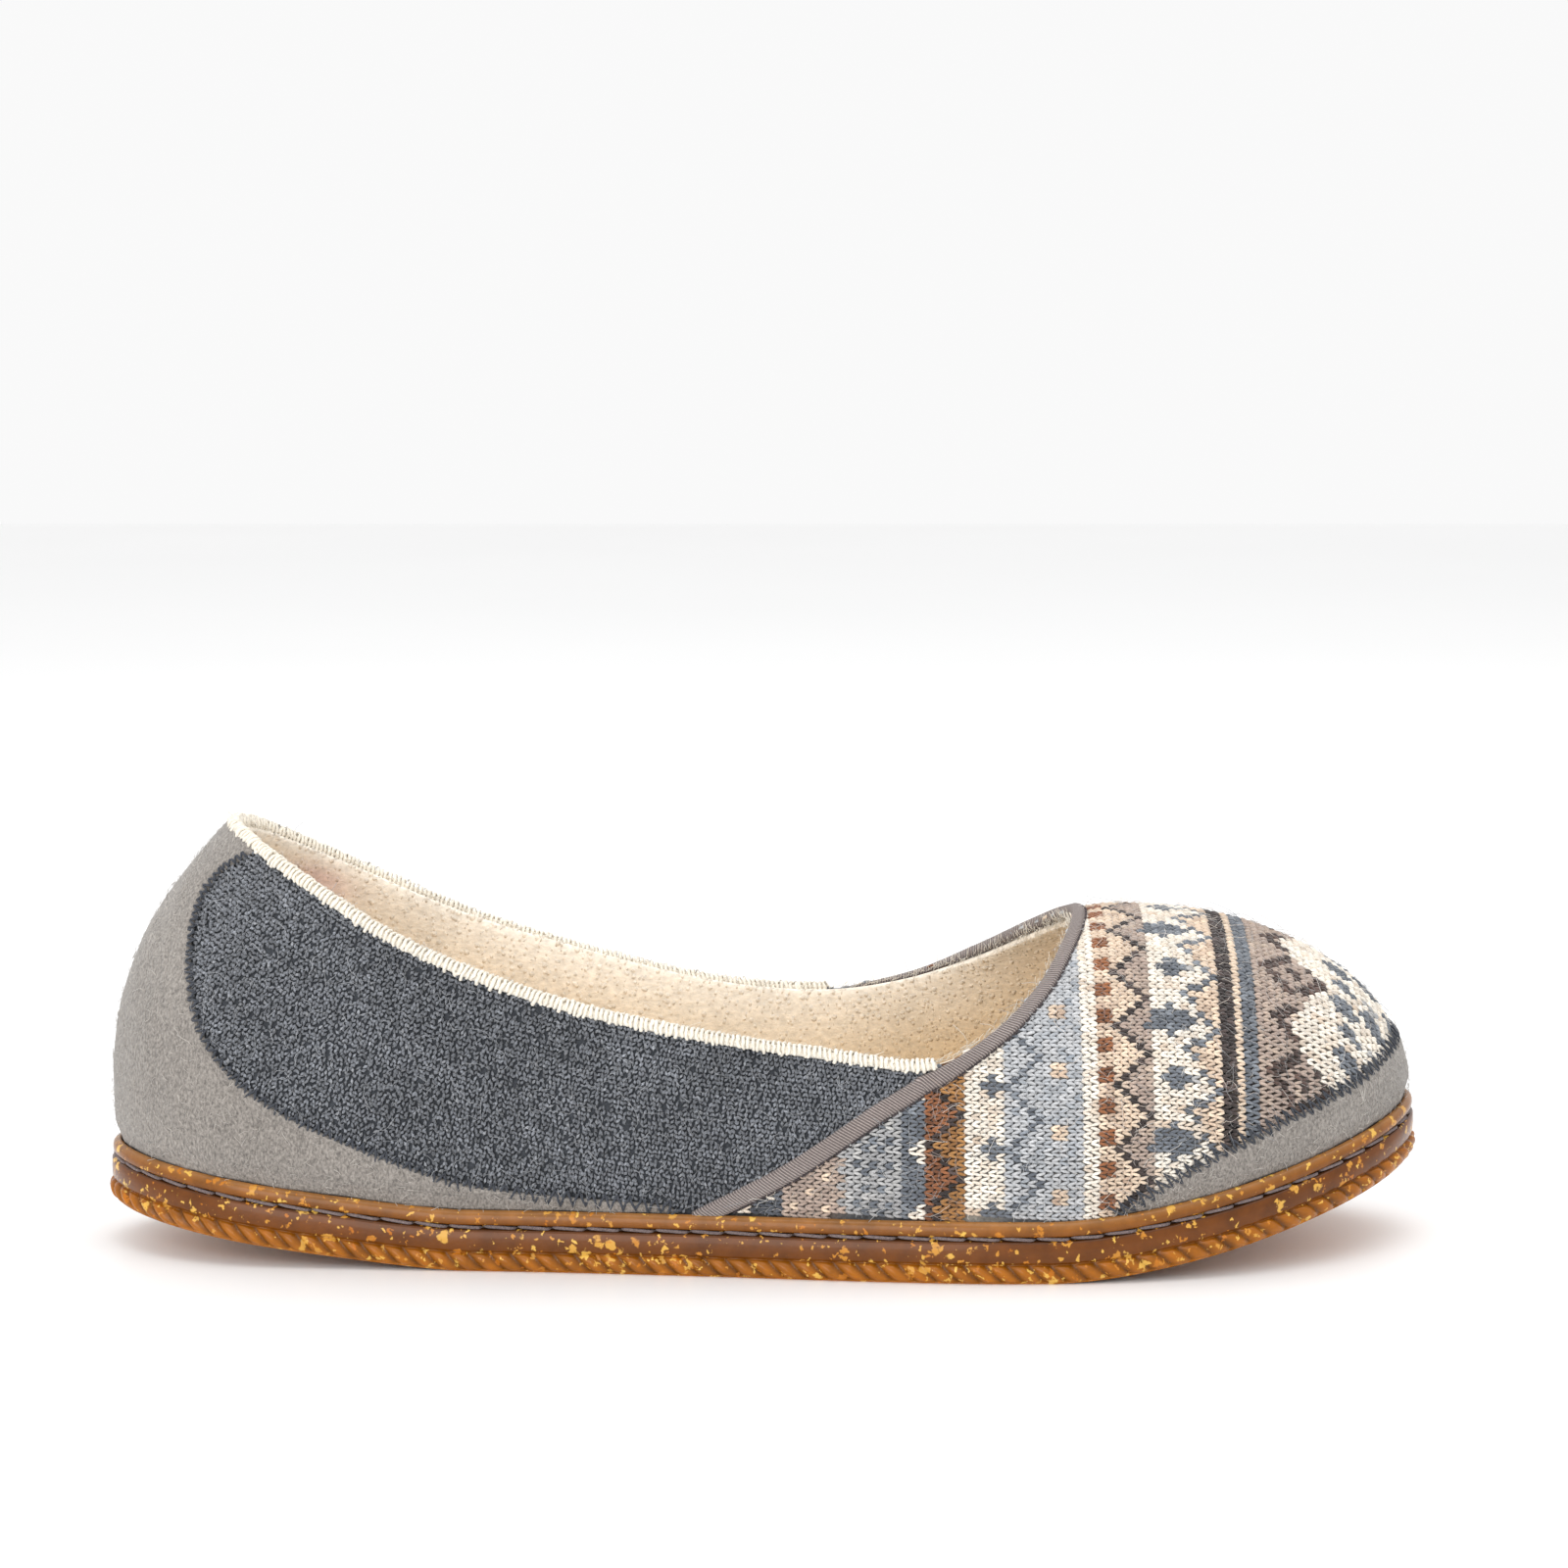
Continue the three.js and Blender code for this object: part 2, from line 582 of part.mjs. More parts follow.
// Finishes
const gumRubber = new THREE.MeshStandardMaterial({ color: 0xa4621f, roughness: 0.35, metalness: 0 });
const fleece = new THREE.MeshStandardMaterial({ color: 0xe4d2b0, roughness: 0.95, metalness: 0 });
const charcoalKnit = new THREE.MeshStandardMaterial({ color: 0x53565d, roughness: 0.95, metalness: 0 });
const greySuede = new THREE.MeshStandardMaterial({ color: 0x8f8a86, roughness: 0.9, metalness: 0 });
const mauveTape = new THREE.MeshStandardMaterial({ color: 0x94827f, roughness: 0.8, metalness: 0 });
const creamEdging = new THREE.MeshStandardMaterial({ color: 0xefe6d2, roughness: 0.95, metalness: 0 });

const pieces = [
  ["outsole", outsole(), gumRubber],
  ["insole", insole(), fleece],
  ["upper", upper(), charcoalKnit],
  ["heel_counter", heelCounter(), greySuede],
  ["toe_bumper", toeBumper(), greySuede],
  ["throat_binding", throatBinding(), mauveTape],
  ["collar_edging", collarEdging(), creamEdging],
];

const slipper = new THREE.Group();
pieces.forEach(([name, geometry, material]) => {
  const mesh = new THREE.Mesh(geometry, material);
  mesh.name = name;
  slipper.add(mesh);
});

// The origin lies on the floor under the middle of the sole's outline
const footprint = new THREE.Box3().setFromObject(slipper.getObjectByName("outsole"));
const middle = footprint.getCenter(new THREE.Vector3());
slipper.position.set(-middle.x, -middle.y, -footprint.min.z);

export default slipper;
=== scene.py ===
# %% [markdown]
# A knit ballet slipper, finished piece by piece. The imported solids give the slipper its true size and
# place, and they are loaded first as a fixed frame. Everything after this dresses that frame: a rubber cup
# sole, suede panels, real knitted stitches, a twill tape and a fleece lining. Lengths in this lesson are
# millimetres in the slipper's own axes, measured from the back of the heel; one function turns them into
# the frame's metres.

# %% Load the frame
import math

import bpy
import numpy as np
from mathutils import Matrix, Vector
from mathutils.bvhtree import BVHTree


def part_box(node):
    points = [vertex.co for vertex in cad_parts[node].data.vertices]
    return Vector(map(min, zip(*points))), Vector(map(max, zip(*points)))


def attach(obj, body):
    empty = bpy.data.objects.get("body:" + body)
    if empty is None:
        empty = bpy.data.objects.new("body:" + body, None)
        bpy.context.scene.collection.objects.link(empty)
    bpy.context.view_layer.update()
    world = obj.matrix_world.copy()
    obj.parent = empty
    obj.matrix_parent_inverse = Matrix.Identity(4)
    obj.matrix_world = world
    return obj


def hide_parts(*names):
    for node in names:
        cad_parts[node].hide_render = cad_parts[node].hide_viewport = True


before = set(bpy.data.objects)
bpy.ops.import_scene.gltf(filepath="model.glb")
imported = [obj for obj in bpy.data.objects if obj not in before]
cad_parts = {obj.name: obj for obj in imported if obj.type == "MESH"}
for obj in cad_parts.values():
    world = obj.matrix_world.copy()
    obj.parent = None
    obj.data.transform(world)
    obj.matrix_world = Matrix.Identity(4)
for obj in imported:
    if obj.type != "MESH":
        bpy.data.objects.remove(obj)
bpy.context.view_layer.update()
sole_low, sole_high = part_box("outsole")
MM = 0.001
print("nodes:", sorted(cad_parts))

# %% [markdown]
# A shoe is drawn on a last, a form of the foot. Here the last is one table: each row is a section of the
# upper somewhere round the foot, from the back of the heel along the outer side to the toe and home on the
# inner side. A smooth curve through the rows gives the sole's outline and the collar at any station u, and
# a cubic curve from the rim up to the collar gives the wall at any height h. Because every piece below asks
# this one surface where it lies, panels, tape and stitches can't drift apart.

# %% Sizes of the last
LENGTH = (sole_high.x - sole_low.x) / MM
BALL_WIDTH = (sole_high.y - sole_low.y) / MM
SOLE_HEIGHT = 12  # underside to the rim of the cup
TOE_SPRING = 17.5  # lift of the underside at the toe
HEEL_SPRING = 9
TOE_BREAK = 0.71  # share of the length where the toe starts to lift
HEEL_BREAK = 0.275
TOE_CURVE = 1.6  # how late the lift comes
HEEL_CURVE = 1.25
HEEL_RISE = 72  # rim to the collar at the back
INSTEP_RISE = 53.4  # rim to the end of the throat
RIM_STEP = 2.6  # outermost edge to the cup's inner wall
CUP_TAPER = 1.4
CUP_FLOOR = 4.5
WALL = 3  # knit and fleece together
CLEARANCE = 0.3
TAPE_THICKNESS = 1.2
EDGING_LAP = 0.6  # depth below the collar's edge where suede and charcoal loops begin

COLUMN = {name: k for k, name in enumerate(
    ("along", "side", "top_along", "top_side", "lift", "flare", "low_pull", "top_slope", "top_pull"))}
SECTIONS = np.array([
    (0, 0, 0.0985, 0, 1, 8, 0.5, 46, 0.25),  # heel back
    (0.028, -0.38, 0.112, -0.22, 0.978, 8, 0.48, 50, 0.25),  # heel outer
    (0.1, -0.64, 0.158, -0.475, 0.898, 8, 0.42, 66, 0.28),  # heel side
    (0.21, -0.72, 0.24, -0.62, 0.743, 8, 0.38, 76, 0.3),  # quarter rear
    (0.34, -0.78, 0.345, -0.7, 0.617, 8, 0.38, 80, 0.3),  # quarter
    (0.46, -0.86, 0.45, -0.762, 0.546, 8, 0.38, 78, 0.3),  # waist
    (0.57, -0.95, 0.545, -0.8, 0.506, 8, 0.38, 74, 0.3),  # joint rear
    (0.67, -1, 0.622, -0.81, 0.487, 8, 0.4, 66, 0.32),  # joint
    (0.76, -0.97, 0.668, -0.72, 0.598, 8, 0.4, 42, 0.38),  # toe side
    (0.85, -0.83, 0.702, -0.56, 0.751, 9, 0.38, 11, 0.36),  # toe corner
    (0.93, -0.57, 0.722, -0.37, 0.894, 9, 0.34, -8, 0.32),  # toe outer
    (0.98, -0.26, 0.732, -0.17, 0.972, 9, 0.32, -16, 0.29),  # toe near tip
    (1, 0.1, 0.734, 0.02, 1, 9, 0.32, -18, 0.29),  # toe tip
    (0.98, 0.46, 0.727, 0.2, 0.972, 9, 0.32, -16, 0.29),  # toe inner tip
    (0.92, 0.73, 0.704, 0.42, 0.876, 9, 0.35, -8, 0.32),  # toe inner
    (0.83, 0.92, 0.665, 0.62, 0.739, 9, 0.4, 11, 0.36),  # toe inner side
    (0.73, 1, 0.613, 0.735, 0.614, 8, 0.42, 45, 0.38),  # inner joint
    (0.62, 0.93, 0.55, 0.782, 0.538, 8, 0.38, 66, 0.32),  # inner rear
    (0.5, 0.79, 0.47, 0.743, 0.541, 8, 0.38, 76, 0.3),  # inner waist
    (0.38, 0.69, 0.375, 0.67, 0.615, 8, 0.38, 80, 0.3),  # inner quarter
    (0.26, 0.67, 0.275, 0.62, 0.722, 8, 0.38, 78, 0.3),  # inner breast
    (0.14, 0.66, 0.185, 0.53, 0.856, 8, 0.4, 70, 0.28),  # inner heel
    (0.034, 0.41, 0.118, 0.27, 0.968, 8, 0.46, 54, 0.25),  # heel inner
])
STATIONS = len(SECTIONS)
TOE_STATION = 12


# %% The last as functions
UP = np.array([0, 0, 1])
STEP = 1e-3  # step in u or h for measuring a direction


def section(u, column):
    """Smooth value of one column of the table at station u, through every row."""
    u = np.asarray(u, float)
    first = np.floor(u).astype(int)
    t = u - first
    a, b, c, d = (SECTIONS[(first + step) % STATIONS, COLUMN[column]] for step in (-1, 0, 1, 2))
    return 0.5 * (2 * b + (c - a) * t + (2 * a - 5 * b + 4 * c - d) * t**2 + (3 * b - a - 3 * c + d) * t**3)


def spring(x):
    share = np.asarray(x, float) / LENGTH
    toe = np.clip((share - TOE_BREAK) / (1 - TOE_BREAK), 0, None)
    heel = np.clip((HEEL_BREAK - share) / HEEL_BREAK, 0, None)
    return TOE_SPRING * toe**TOE_CURVE + HEEL_SPRING * heel**HEEL_CURVE


def size_of(v):
    return np.linalg.norm(v, axis=-1)


def unit(v):
    return v / np.maximum(size_of(v), 1e-9)[..., None]


def run_of(points):
    """How far along a line of points each of them lies."""
    return np.concatenate([[0], np.cumsum(size_of(np.diff(points, axis=0)))])


def outline(u):
    return np.stack([section(u, "along") * LENGTH, section(u, "side") * BALL_WIDTH / 2, np.zeros_like(u)], -1)


def outward(u):
    """Level direction out of the outline."""
    run = unit(outline(u + STEP) - outline(u - STEP))
    return np.stack([run[..., 1], -run[..., 0], np.zeros_like(u)], -1)


def edge_point(u, inset, height):
    """Point inset from the sole's outermost edge, at a height above its underside."""
    p = outline(u) - outward(u) * np.broadcast_to(inset, u.shape)[..., None]
    p[..., 2] = spring(p[..., 0]) + height
    return p


# Soft troughs and ridges of worn knit, each at a station u and height h: reach in stations, reach in
# height, and depth in millimetres, negative for a trough
CREASES = (
    (7.6, 0.62, 0.55, 0.30, -0.5), (8.5, 0.80, 0.5, 0.10, 0.5), (9.3, 0.70, 0.45, 0.16, -0.45),
    (10.4, 0.62, 0.5, 0.12, 0.45), (11.3, 0.78, 0.6, 0.10, -0.4), (12.4, 0.60, 0.7, 0.14, 0.5),
    (13.6, 0.74, 0.6, 0.12, -0.45), (14.8, 0.66, 0.5, 0.18, 0.4), (16.0, 0.72, 0.5, 0.24, -0.5),
    (12.0, 0.38, 3.4, 0.26, 1.7),
    (3.1, 0.45, 0.7, 0.30, -0.7), (4.3, 0.60, 0.6, 0.25, 0.5), (2.0, 0.72, 0.35, 0.25, -0.35),
    (20.2, 0.45, 0.7, 0.30, -0.7), (19.2, 0.60, 0.6, 0.25, 0.5), (21.3, 0.72, 0.4, 0.25, -0.35),
)


def relief(u, h):
    """Height of the creases over the smooth last."""
    total = np.zeros(np.broadcast(u, h).shape)
    for at, level, reach, rise, depth in CREASES:
        away = (np.mod(u - at + STATIONS / 2, STATIONS) - STATIONS / 2) / reach
        total = total + depth * np.exp(-(away**2) - ((h - level) / rise) ** 2)
    return total * np.clip(4 * h, 0, 1)


def bare_skin(u, h):
    """Smooth outer face of the upper: a cubic curve from the rim of the cup to the collar."""
    u, h = np.broadcast_arrays(np.asarray(u, float), np.asarray(h, float))
    rim = edge_point(u, RIM_STEP + CLEARANCE, SOLE_HEIGHT)
    rise = HEEL_RISE + (INSTEP_RISE - HEEL_RISE) * section(u, "along")
    top = np.stack([section(u, "top_along") * LENGTH, section(u, "top_side") * BALL_WIDTH / 2,
                    SOLE_HEIGHT + rise * section(u, "lift")], -1)
    reach = size_of(top - rim)[..., None]
    flare, slope = (np.radians(section(u, name))[..., None] for name in ("flare", "top_slope"))
    low = outward(u) * np.sin(flare) + UP * np.cos(flare)
    away = unit((rim - top) * (1 - UP)) * np.cos(slope) - UP * np.sin(slope)
    low_handle = rim + low * reach * section(u, "low_pull")[..., None]
    top_handle = top + away * reach * section(u, "top_pull")[..., None]
    h = h[..., None]
    return (rim * (1 - h) ** 3 + 3 * low_handle * h * (1 - h) ** 2
            + 3 * top_handle * h**2 * (1 - h) + top * h**3)


def skin_frame(u, h):
    """Directions of the skin: round it, up it and out of it."""
    u, h = np.broadcast_arrays(np.asarray(u, float), np.asarray(h, float))
    below, above = h - STEP, np.minimum(h + STEP, 1)
    around = (bare_skin(u + STEP, h) - bare_skin(u - STEP, h)) / (2 * STEP)
    up = (bare_skin(u, above) - bare_skin(u, below)) / (above - below)[..., None]
    return around, up, unit(np.cross(around, up))


def layer(u, h, off):
    """Point of the upper a distance off the creased skin."""
    out = skin_frame(u, h)[2]
    return bare_skin(u, h) + out * (np.asarray(off, float) + relief(u, h))[..., None]


def below_collar(u, distance):
    return 1 - distance / size_of(skin_frame(u, 1)[1])


def even_stations(count, level=None):
    """Stations spaced evenly along the sole's outline, or along a height of the upper."""
    fine = np.linspace(0, STATIONS, 200 * STATIONS + 1)
    length = run_of(outline(fine) if level is None else bare_skin(fine, level))
    return np.interp(np.arange(count) * length[-1] / count, length, fine)


print("sole", round(LENGTH, 1), "x", round(BALL_WIDTH, 1), "mm")

# %% [markdown]
# The panel lines are short tables too: where the suede counter ends, how high the toe bumper reaches, and
# the line of the tape that parts the charcoal quarters from the patterned vamp.

# %% Panel lines
COUNTER_EDGE = np.array([  # height h, station u
    (0, 4.8), (0.042, 4.72), (0.052, 4.4), (0.065, 4.0), (0.095, 3.55), (0.155, 3.12), (0.195, 2.76),
    (0.23, 2.43), (0.27, 2.13), (0.32, 1.86), (0.378, 1.64), (0.46, 1.45), (0.54, 1.29), (0.63, 1.13),
    (0.735, 0.99), (0.84, 1), (1, 1.3)])
COUNTER_INNER_SHARE = 0.88  # reach of the counter on the inner side, as a share of that on the outer side
BUMPER_EDGE = np.array([  # station u, height h
    (7.95, 0), (8.16, 0.04), (8.5, 0.095), (8.94, 0.135), (9.42, 0.15), (10.4, 0.153), (11.2, 0.165),
    (12, 0.178), (12.8, 0.178), (13.6, 0.165), (14.5, 0.15), (15, 0.135), (15.4, 0.095), (15.7, 0.04),
    (15.9, 0)])
BINDING_HEIGHTS = (-0.06, 0, 0.1, 0.22, 0.42, 0.665, 0.935, 1)
BINDING_OUTER, BINDING_INNER = (np.column_stack([BINDING_HEIGHTS, stations]) for stations in (
    (4.84, 4.98, 5.22, 5.49, 5.87, 6.34, 6.96, 7.14), (19.09, 18.95, 18.72, 18.46, 18.1, 17.66, 17.1, 16.94)))


def along(table, value):
    return np.interp(value, table[:, 0], table[:, 1])


def between_tapes(u, h, margin=0.0):
    return (u > along(BINDING_OUTER, h) + margin) & (u < along(BINDING_INNER, h) - margin)


# %% [markdown]
# Meshes made in code are arrays of points and faces. This helper turns such arrays into a Blender object,
# shifts them from the slipper's millimetres to the frame's metres, gives each point a colour where a piece
# has coloured yarn, and checks which way the faces point by the volume that they enclose.

# %% Mesh helpers
def to_frame(points):
    return (np.asarray(points, float) - np.array([LENGTH / 2, 0, 0])) * MM


def place_object(name, data):
    made = bpy.data.objects.new(name, data)
    bpy.context.scene.collection.objects.link(made)
    return made


def build(name, points, faces, material, colours=None):
    """Makes an object of closed bodies from points in millimetres and arrays of faces."""
    points = np.asarray(points, float).reshape(-1, 3)
    faces = [np.asarray(group, int) for group in faces if len(group)]
    volume = sum(np.einsum("ij,ij->i", points[f[:, 0]], np.cross(points[f[:, k]], points[f[:, k + 1]])).sum()
                 for f in faces for k in range(1, f.shape[1] - 1))
    if volume < 0:
        faces = [group[:, ::-1] for group in faces]
    mesh = bpy.data.meshes.new(name)
    mesh.vertices.add(len(points))
    mesh.vertices.foreach_set("co", to_frame(points).ravel())
    corners = np.concatenate([group.ravel() for group in faces])
    sizes = np.concatenate([np.full(len(group), group.shape[1]) for group in faces])
    mesh.loops.add(len(corners))
    mesh.loops.foreach_set("vertex_index", corners)
    mesh.polygons.add(len(sizes))
    mesh.polygons.foreach_set("loop_start", np.concatenate([[0], np.cumsum(sizes)[:-1]]))
    mesh.update(calc_edges=True)
    mesh.shade_smooth()
    if colours is not None:
        layer_of_colour = mesh.color_attributes.new("yarn", "FLOAT_COLOR", "POINT")
        rgba = np.concatenate([colours, np.ones((len(colours), 1))], 1)
        layer_of_colour.data.foreach_set("color", rgba.ravel())
    mesh.materials.append(material)
    print(f"{name}: {int((sizes - 2).sum())} triangles")
    return place_object(name, mesh)


def ring_faces(rows, columns, closed_rows=False, closed_columns=True):
    """Quads between rows of points, each row with as many columns."""
    i = np.arange(rows if closed_rows else rows - 1)
    j = np.arange(columns if closed_columns else columns - 1)
    i, j = np.meshgrid(i, j, indexing="ij")
    i, j = i.ravel(), j.ravel()
    i2, j2 = (i + 1) % rows, (j + 1) % columns
    return np.stack([i * columns + j, i * columns + j2, i2 * columns + j2, i2 * columns + j], 1)


def closed_sheet(outer, inner):
    """Points and faces of a sheet with thickness, from two grids of points."""
    rows, columns = outer.shape[:2]
    count = rows * columns
    face = ring_faces(rows, columns, closed_columns=False)
    border = np.concatenate([np.arange(columns), np.arange(1, rows) * columns + columns - 1,
                             (rows - 1) * columns + np.arange(columns - 2, -1, -1),
                             np.arange(rows - 2, 0, -1) * columns])
    ahead = np.roll(border, -1)
    rim = np.stack([ahead, border, border + count, ahead + count], 1)
    return np.concatenate([outer.reshape(-1, 3), inner.reshape(-1, 3)]), [face, face[:, ::-1] + count, rim]


def ripple(points, wavelength, seed, waves=14):
    """Smooth irregular relief between about -1 and 1, the same on each run."""
    chance = np.random.default_rng(seed)
    total = 0
    for _ in range(waves):
        way = unit(chance.normal(size=3)) * 2 * math.pi / (wavelength * chance.uniform(0.7, 1.5))
        total = total + np.sin(points @ way + chance.uniform(0, 2 * math.pi))
    return total / math.sqrt(waves)


def dress(made, slot, *nodes):
    for name in nodes:
        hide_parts(name)
    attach(made, "root")


# %% [markdown]
# Yarn, thread and hair are all tubes, and a slipper has thousands of them. Rather than curves, which would
# each be an object, one function sweeps a small ring along many paths at once and joins them in one mesh.

# %% Tubes and stitches
def cap_faces(rings, sides):
    """Triangles that close a stack of rings at both ends, on two tips that follow the rings."""
    j = np.arange(sides)
    ahead = (j + 1) % sides
    first = np.stack([j, np.full(sides, rings * sides), ahead], 1)
    last = np.stack([j, ahead, np.full(sides, sides + 1)], 1) + (rings - 1) * sides
    return np.concatenate([first, last])


def stamp_faces(faces, count, size):
    """Faces of copies of a body that has so many points."""
    shift = (np.arange(count) * size)[:, None, None]
    return [(group[None] + shift).reshape(-1, group.shape[1]) for group in faces]


def tubes(paths, radii, outs, sides=6):
    """Points and faces of round closed tubes along paths, an array of paths x steps x 3."""
    count, steps = paths.shape[:2]
    radii = np.broadcast_to(radii, (count, steps))[..., None]
    run = unit(np.gradient(paths, axis=1))
    across = unit(np.cross(run, outs))
    rise = np.cross(across, run)
    turn = np.arange(sides) * 2 * math.pi / sides
    ring = across[:, :, None] * np.cos(turn)[:, None] + rise[:, :, None] * np.sin(turn)[:, None]
    body = (paths[:, :, None] + ring * radii[:, :, None]).reshape(count, -1, 3)
    ends = [0, -1]
    tips = paths[:, ends] + run[:, ends] * radii[:, ends] * np.array([[-0.6], [0.6]])
    points = np.concatenate([body, tips], 1)
    faces = stamp_faces([ring_faces(steps, sides), cap_faces(steps, sides)], count, points.shape[1])
    return points.reshape(-1, 3), faces


def seed_shape(rings=3, sides=4, arch=0.35):
    """A closed plump seed, from -0.5 to 0.5 along its first axis, that dips at both ends."""
    angle = np.linspace(0, math.pi, rings + 2)[1:-1]
    x, r = -0.5 * np.cos(angle), 0.5 * np.sin(angle)[:, None]
    turn = (np.arange(sides) + 0.5) * 2 * math.pi / sides
    body = np.stack([np.repeat(x, sides), (r * np.cos(turn)).ravel(), (r * np.sin(turn)).ravel()], 1)
    points = np.concatenate([body, [[-0.5, 0, 0], [0.5, 0, 0]]])
    points[:, 2] -= arch * (2 * points[:, 0]) ** 2
    return points, [ring_faces(rings, sides), cap_faces(rings, sides)]


def stamp(shape, places, axes):
    """Copies of a small body: axes holds its three directions at each place, with their lengths."""
    points, faces = shape
    copies = places[:, None] + np.einsum("mk,nkj->nmj", points, axes)
    return copies.reshape(-1, 3), stamp_faces(faces, len(places), len(points))


# %% [markdown]
# Finishes come next. A shader node group is an effect built once, with named inputs, and placed in each
# material with its own values. One effect serves the whole slipper: fibres, which roughen and mottle every
# yarn, nap and fleece, with a slow drift of tone, as handled things have.

# %% Shader helpers
def srgb(code):
    """Linear colour of a screen colour written as six hex digits."""
    parts = [int(code[k:k + 2], 16) / 255 for k in (0, 2, 4)]
    return tuple(p / 12.92 if p < 0.04045 else ((p + 0.055) / 1.055) ** 2.4 for p in parts)


def add(tree, kind, inputs=None, **settings):
    made = tree.nodes.new(kind)
    for key, value in settings.items():
        setattr(made, key, value)
    for key, value in (inputs or {}).items():
        if isinstance(value, bpy.types.NodeSocket):
            tree.links.new(value, made.inputs[key])
        else:
            made.inputs[key].default_value = value
    return made


def new_group(name, inputs, outputs):
    group = bpy.data.node_groups.new(name, "ShaderNodeTree")
    for label, kind, value in inputs:
        socket = group.interface.new_socket(label, in_out="INPUT", socket_type=kind)
        socket.default_value = value
    for label, kind in outputs:
        group.interface.new_socket(label, in_out="OUTPUT", socket_type=kind)
    return group, add(group, "NodeGroupInput"), add(group, "NodeGroupOutput")


def material(name, **principled):
    """A material with its Principled BSDF, whose constants are set on its own sockets."""
    made = bpy.data.materials.new(name)
    made.use_nodes = True
    shader = made.node_tree.nodes["Principled BSDF"]
    for label, value in principled.items():
        shader.inputs[label.replace("_", " ")].default_value = value
    return made, made.node_tree, shader


def own_place(tree):
    return add(tree, "ShaderNodeTexCoord").outputs["Object"]


def yarn_colour(tree):
    return add(tree, "ShaderNodeVertexColor", layer_name="yarn").outputs["Color"]


def noise(tree, place, scale, detail=2, **more):
    inputs = {"Vector": place, "Scale": scale, "Detail": detail, **more}
    return add(tree, "ShaderNodeTexNoise", inputs).outputs["Fac"]


def remap(tree, value, low, high, to_low=0, to_high=1):
    inputs = {"Value": value, "From Min": low, "From Max": high, "To Min": to_low, "To Max": to_high}
    return add(tree, "ShaderNodeMapRange", inputs).outputs[0]


def maths(tree, operation, *values):
    return add(tree, "ShaderNodeMath", dict(enumerate(values)), operation=operation).outputs[0]


def vector(tree, operation, inputs):
    return add(tree, "ShaderNodeVectorMath", inputs, operation=operation).outputs[0]


def mix(tree, factor, a, b):
    """Blend of two colours, each a socket, a linear colour or six hex digits."""
    a, b = ((*srgb(c), 1) if isinstance(c, str) else c for c in (a, b))
    return add(tree, "ShaderNodeMix", {"Factor": factor, "A": a, "B": b}, data_type="RGBA").outputs["Result"]


def surface(tree, shader, colour, height, strength, distance):
    """Gives a shader its colour and its relief."""
    raised = add(tree, "ShaderNodeBump", {"Height": height, "Strength": strength, "Distance": distance})
    tree.links.new(colour, shader.inputs["Base Color"])
    tree.links.new(raised.outputs["Normal"], shader.inputs["Normal"])


# %% Fibre effect
def make_fibres():
    """Mottles a colour with fine fibres and a slow drift of tone, and gives their height for bump."""
    group, start, end = new_group(
        "Fibres",
        [("Color", "NodeSocketColor", (0.5, 0.5, 0.5, 1)), ("Scale", "NodeSocketFloat", 1500),
         ("Stretch", "NodeSocketVector", (1, 1, 1)), ("Contrast", "NodeSocketFloat", 0.3),
         ("Drift", "NodeSocketFloat", 0.15)],
        [("Color", "NodeSocketColor"), ("Height", "NodeSocketFloat")])
    given = start.outputs
    place = own_place(group)
    fine = noise(group, vector(group, "MULTIPLY", {0: place, 1: given["Stretch"]}), given["Scale"], 3,
                 Roughness=0.65)
    slow = noise(group, place, 55)
    swings = [maths(group, "MULTIPLY_ADD", remap(group, source, 0.3, 0.7, -1, 1), given[name], 1)
              for source, name in ((fine, "Contrast"), (slow, "Drift"))]
    shade = vector(group, "SCALE", {0: given["Color"], "Scale": maths(group, "MULTIPLY", *swings)})
    group.links.new(shade, end.inputs["Color"])
    group.links.new(fine, end.inputs["Height"])
    return group


FIBRES = make_fibres()


def fibres(tree, colour, scale, contrast, drift, stretch=(1, 1, 1)):
    values = {"Color": colour, "Scale": scale, "Stretch": stretch, "Contrast": contrast, "Drift": drift}
    return add(tree, "ShaderNodeGroup", values, node_tree=FIBRES).outputs


def fibrous(name, colour, scale, contrast, drift, bump, stretch=(1, 1, 1), sheen=0.25):
    """Wool, fleece or thread: fibres over a colour, or over the piece's own yarn colours if it is None."""
    made, tree, shader = material(name, Roughness=0.95, Sheen_Weight=sheen, Sheen_Roughness=0.5,
                                  Specular_IOR_Level=0.15)
    base = (*srgb(colour), 1) if colour else yarn_colour(tree)
    effect = fibres(tree, base, scale, contrast, drift, stretch)
    surface(tree, shader, effect["Color"], effect["Height"], bump, 0.0003)
    return made


# %% [markdown]
# The cup sole is cast in one piece from amber gum rubber, with golden flakes in it. Its side has a lip, a
# groove for the seam, a plain band and a rope of slanted beads at its foot. A lathe can't follow a foot's
# outline, so the side is a short profile swept round it, and the beads come from pushing the rope's rows in
# and out as the sweep goes round.

# %% Gum rubber
FLAKES = ((400, 0.76, 0.38), (750, 0.74, 0.38))  # cells to a metre, share of them without a flake, reach


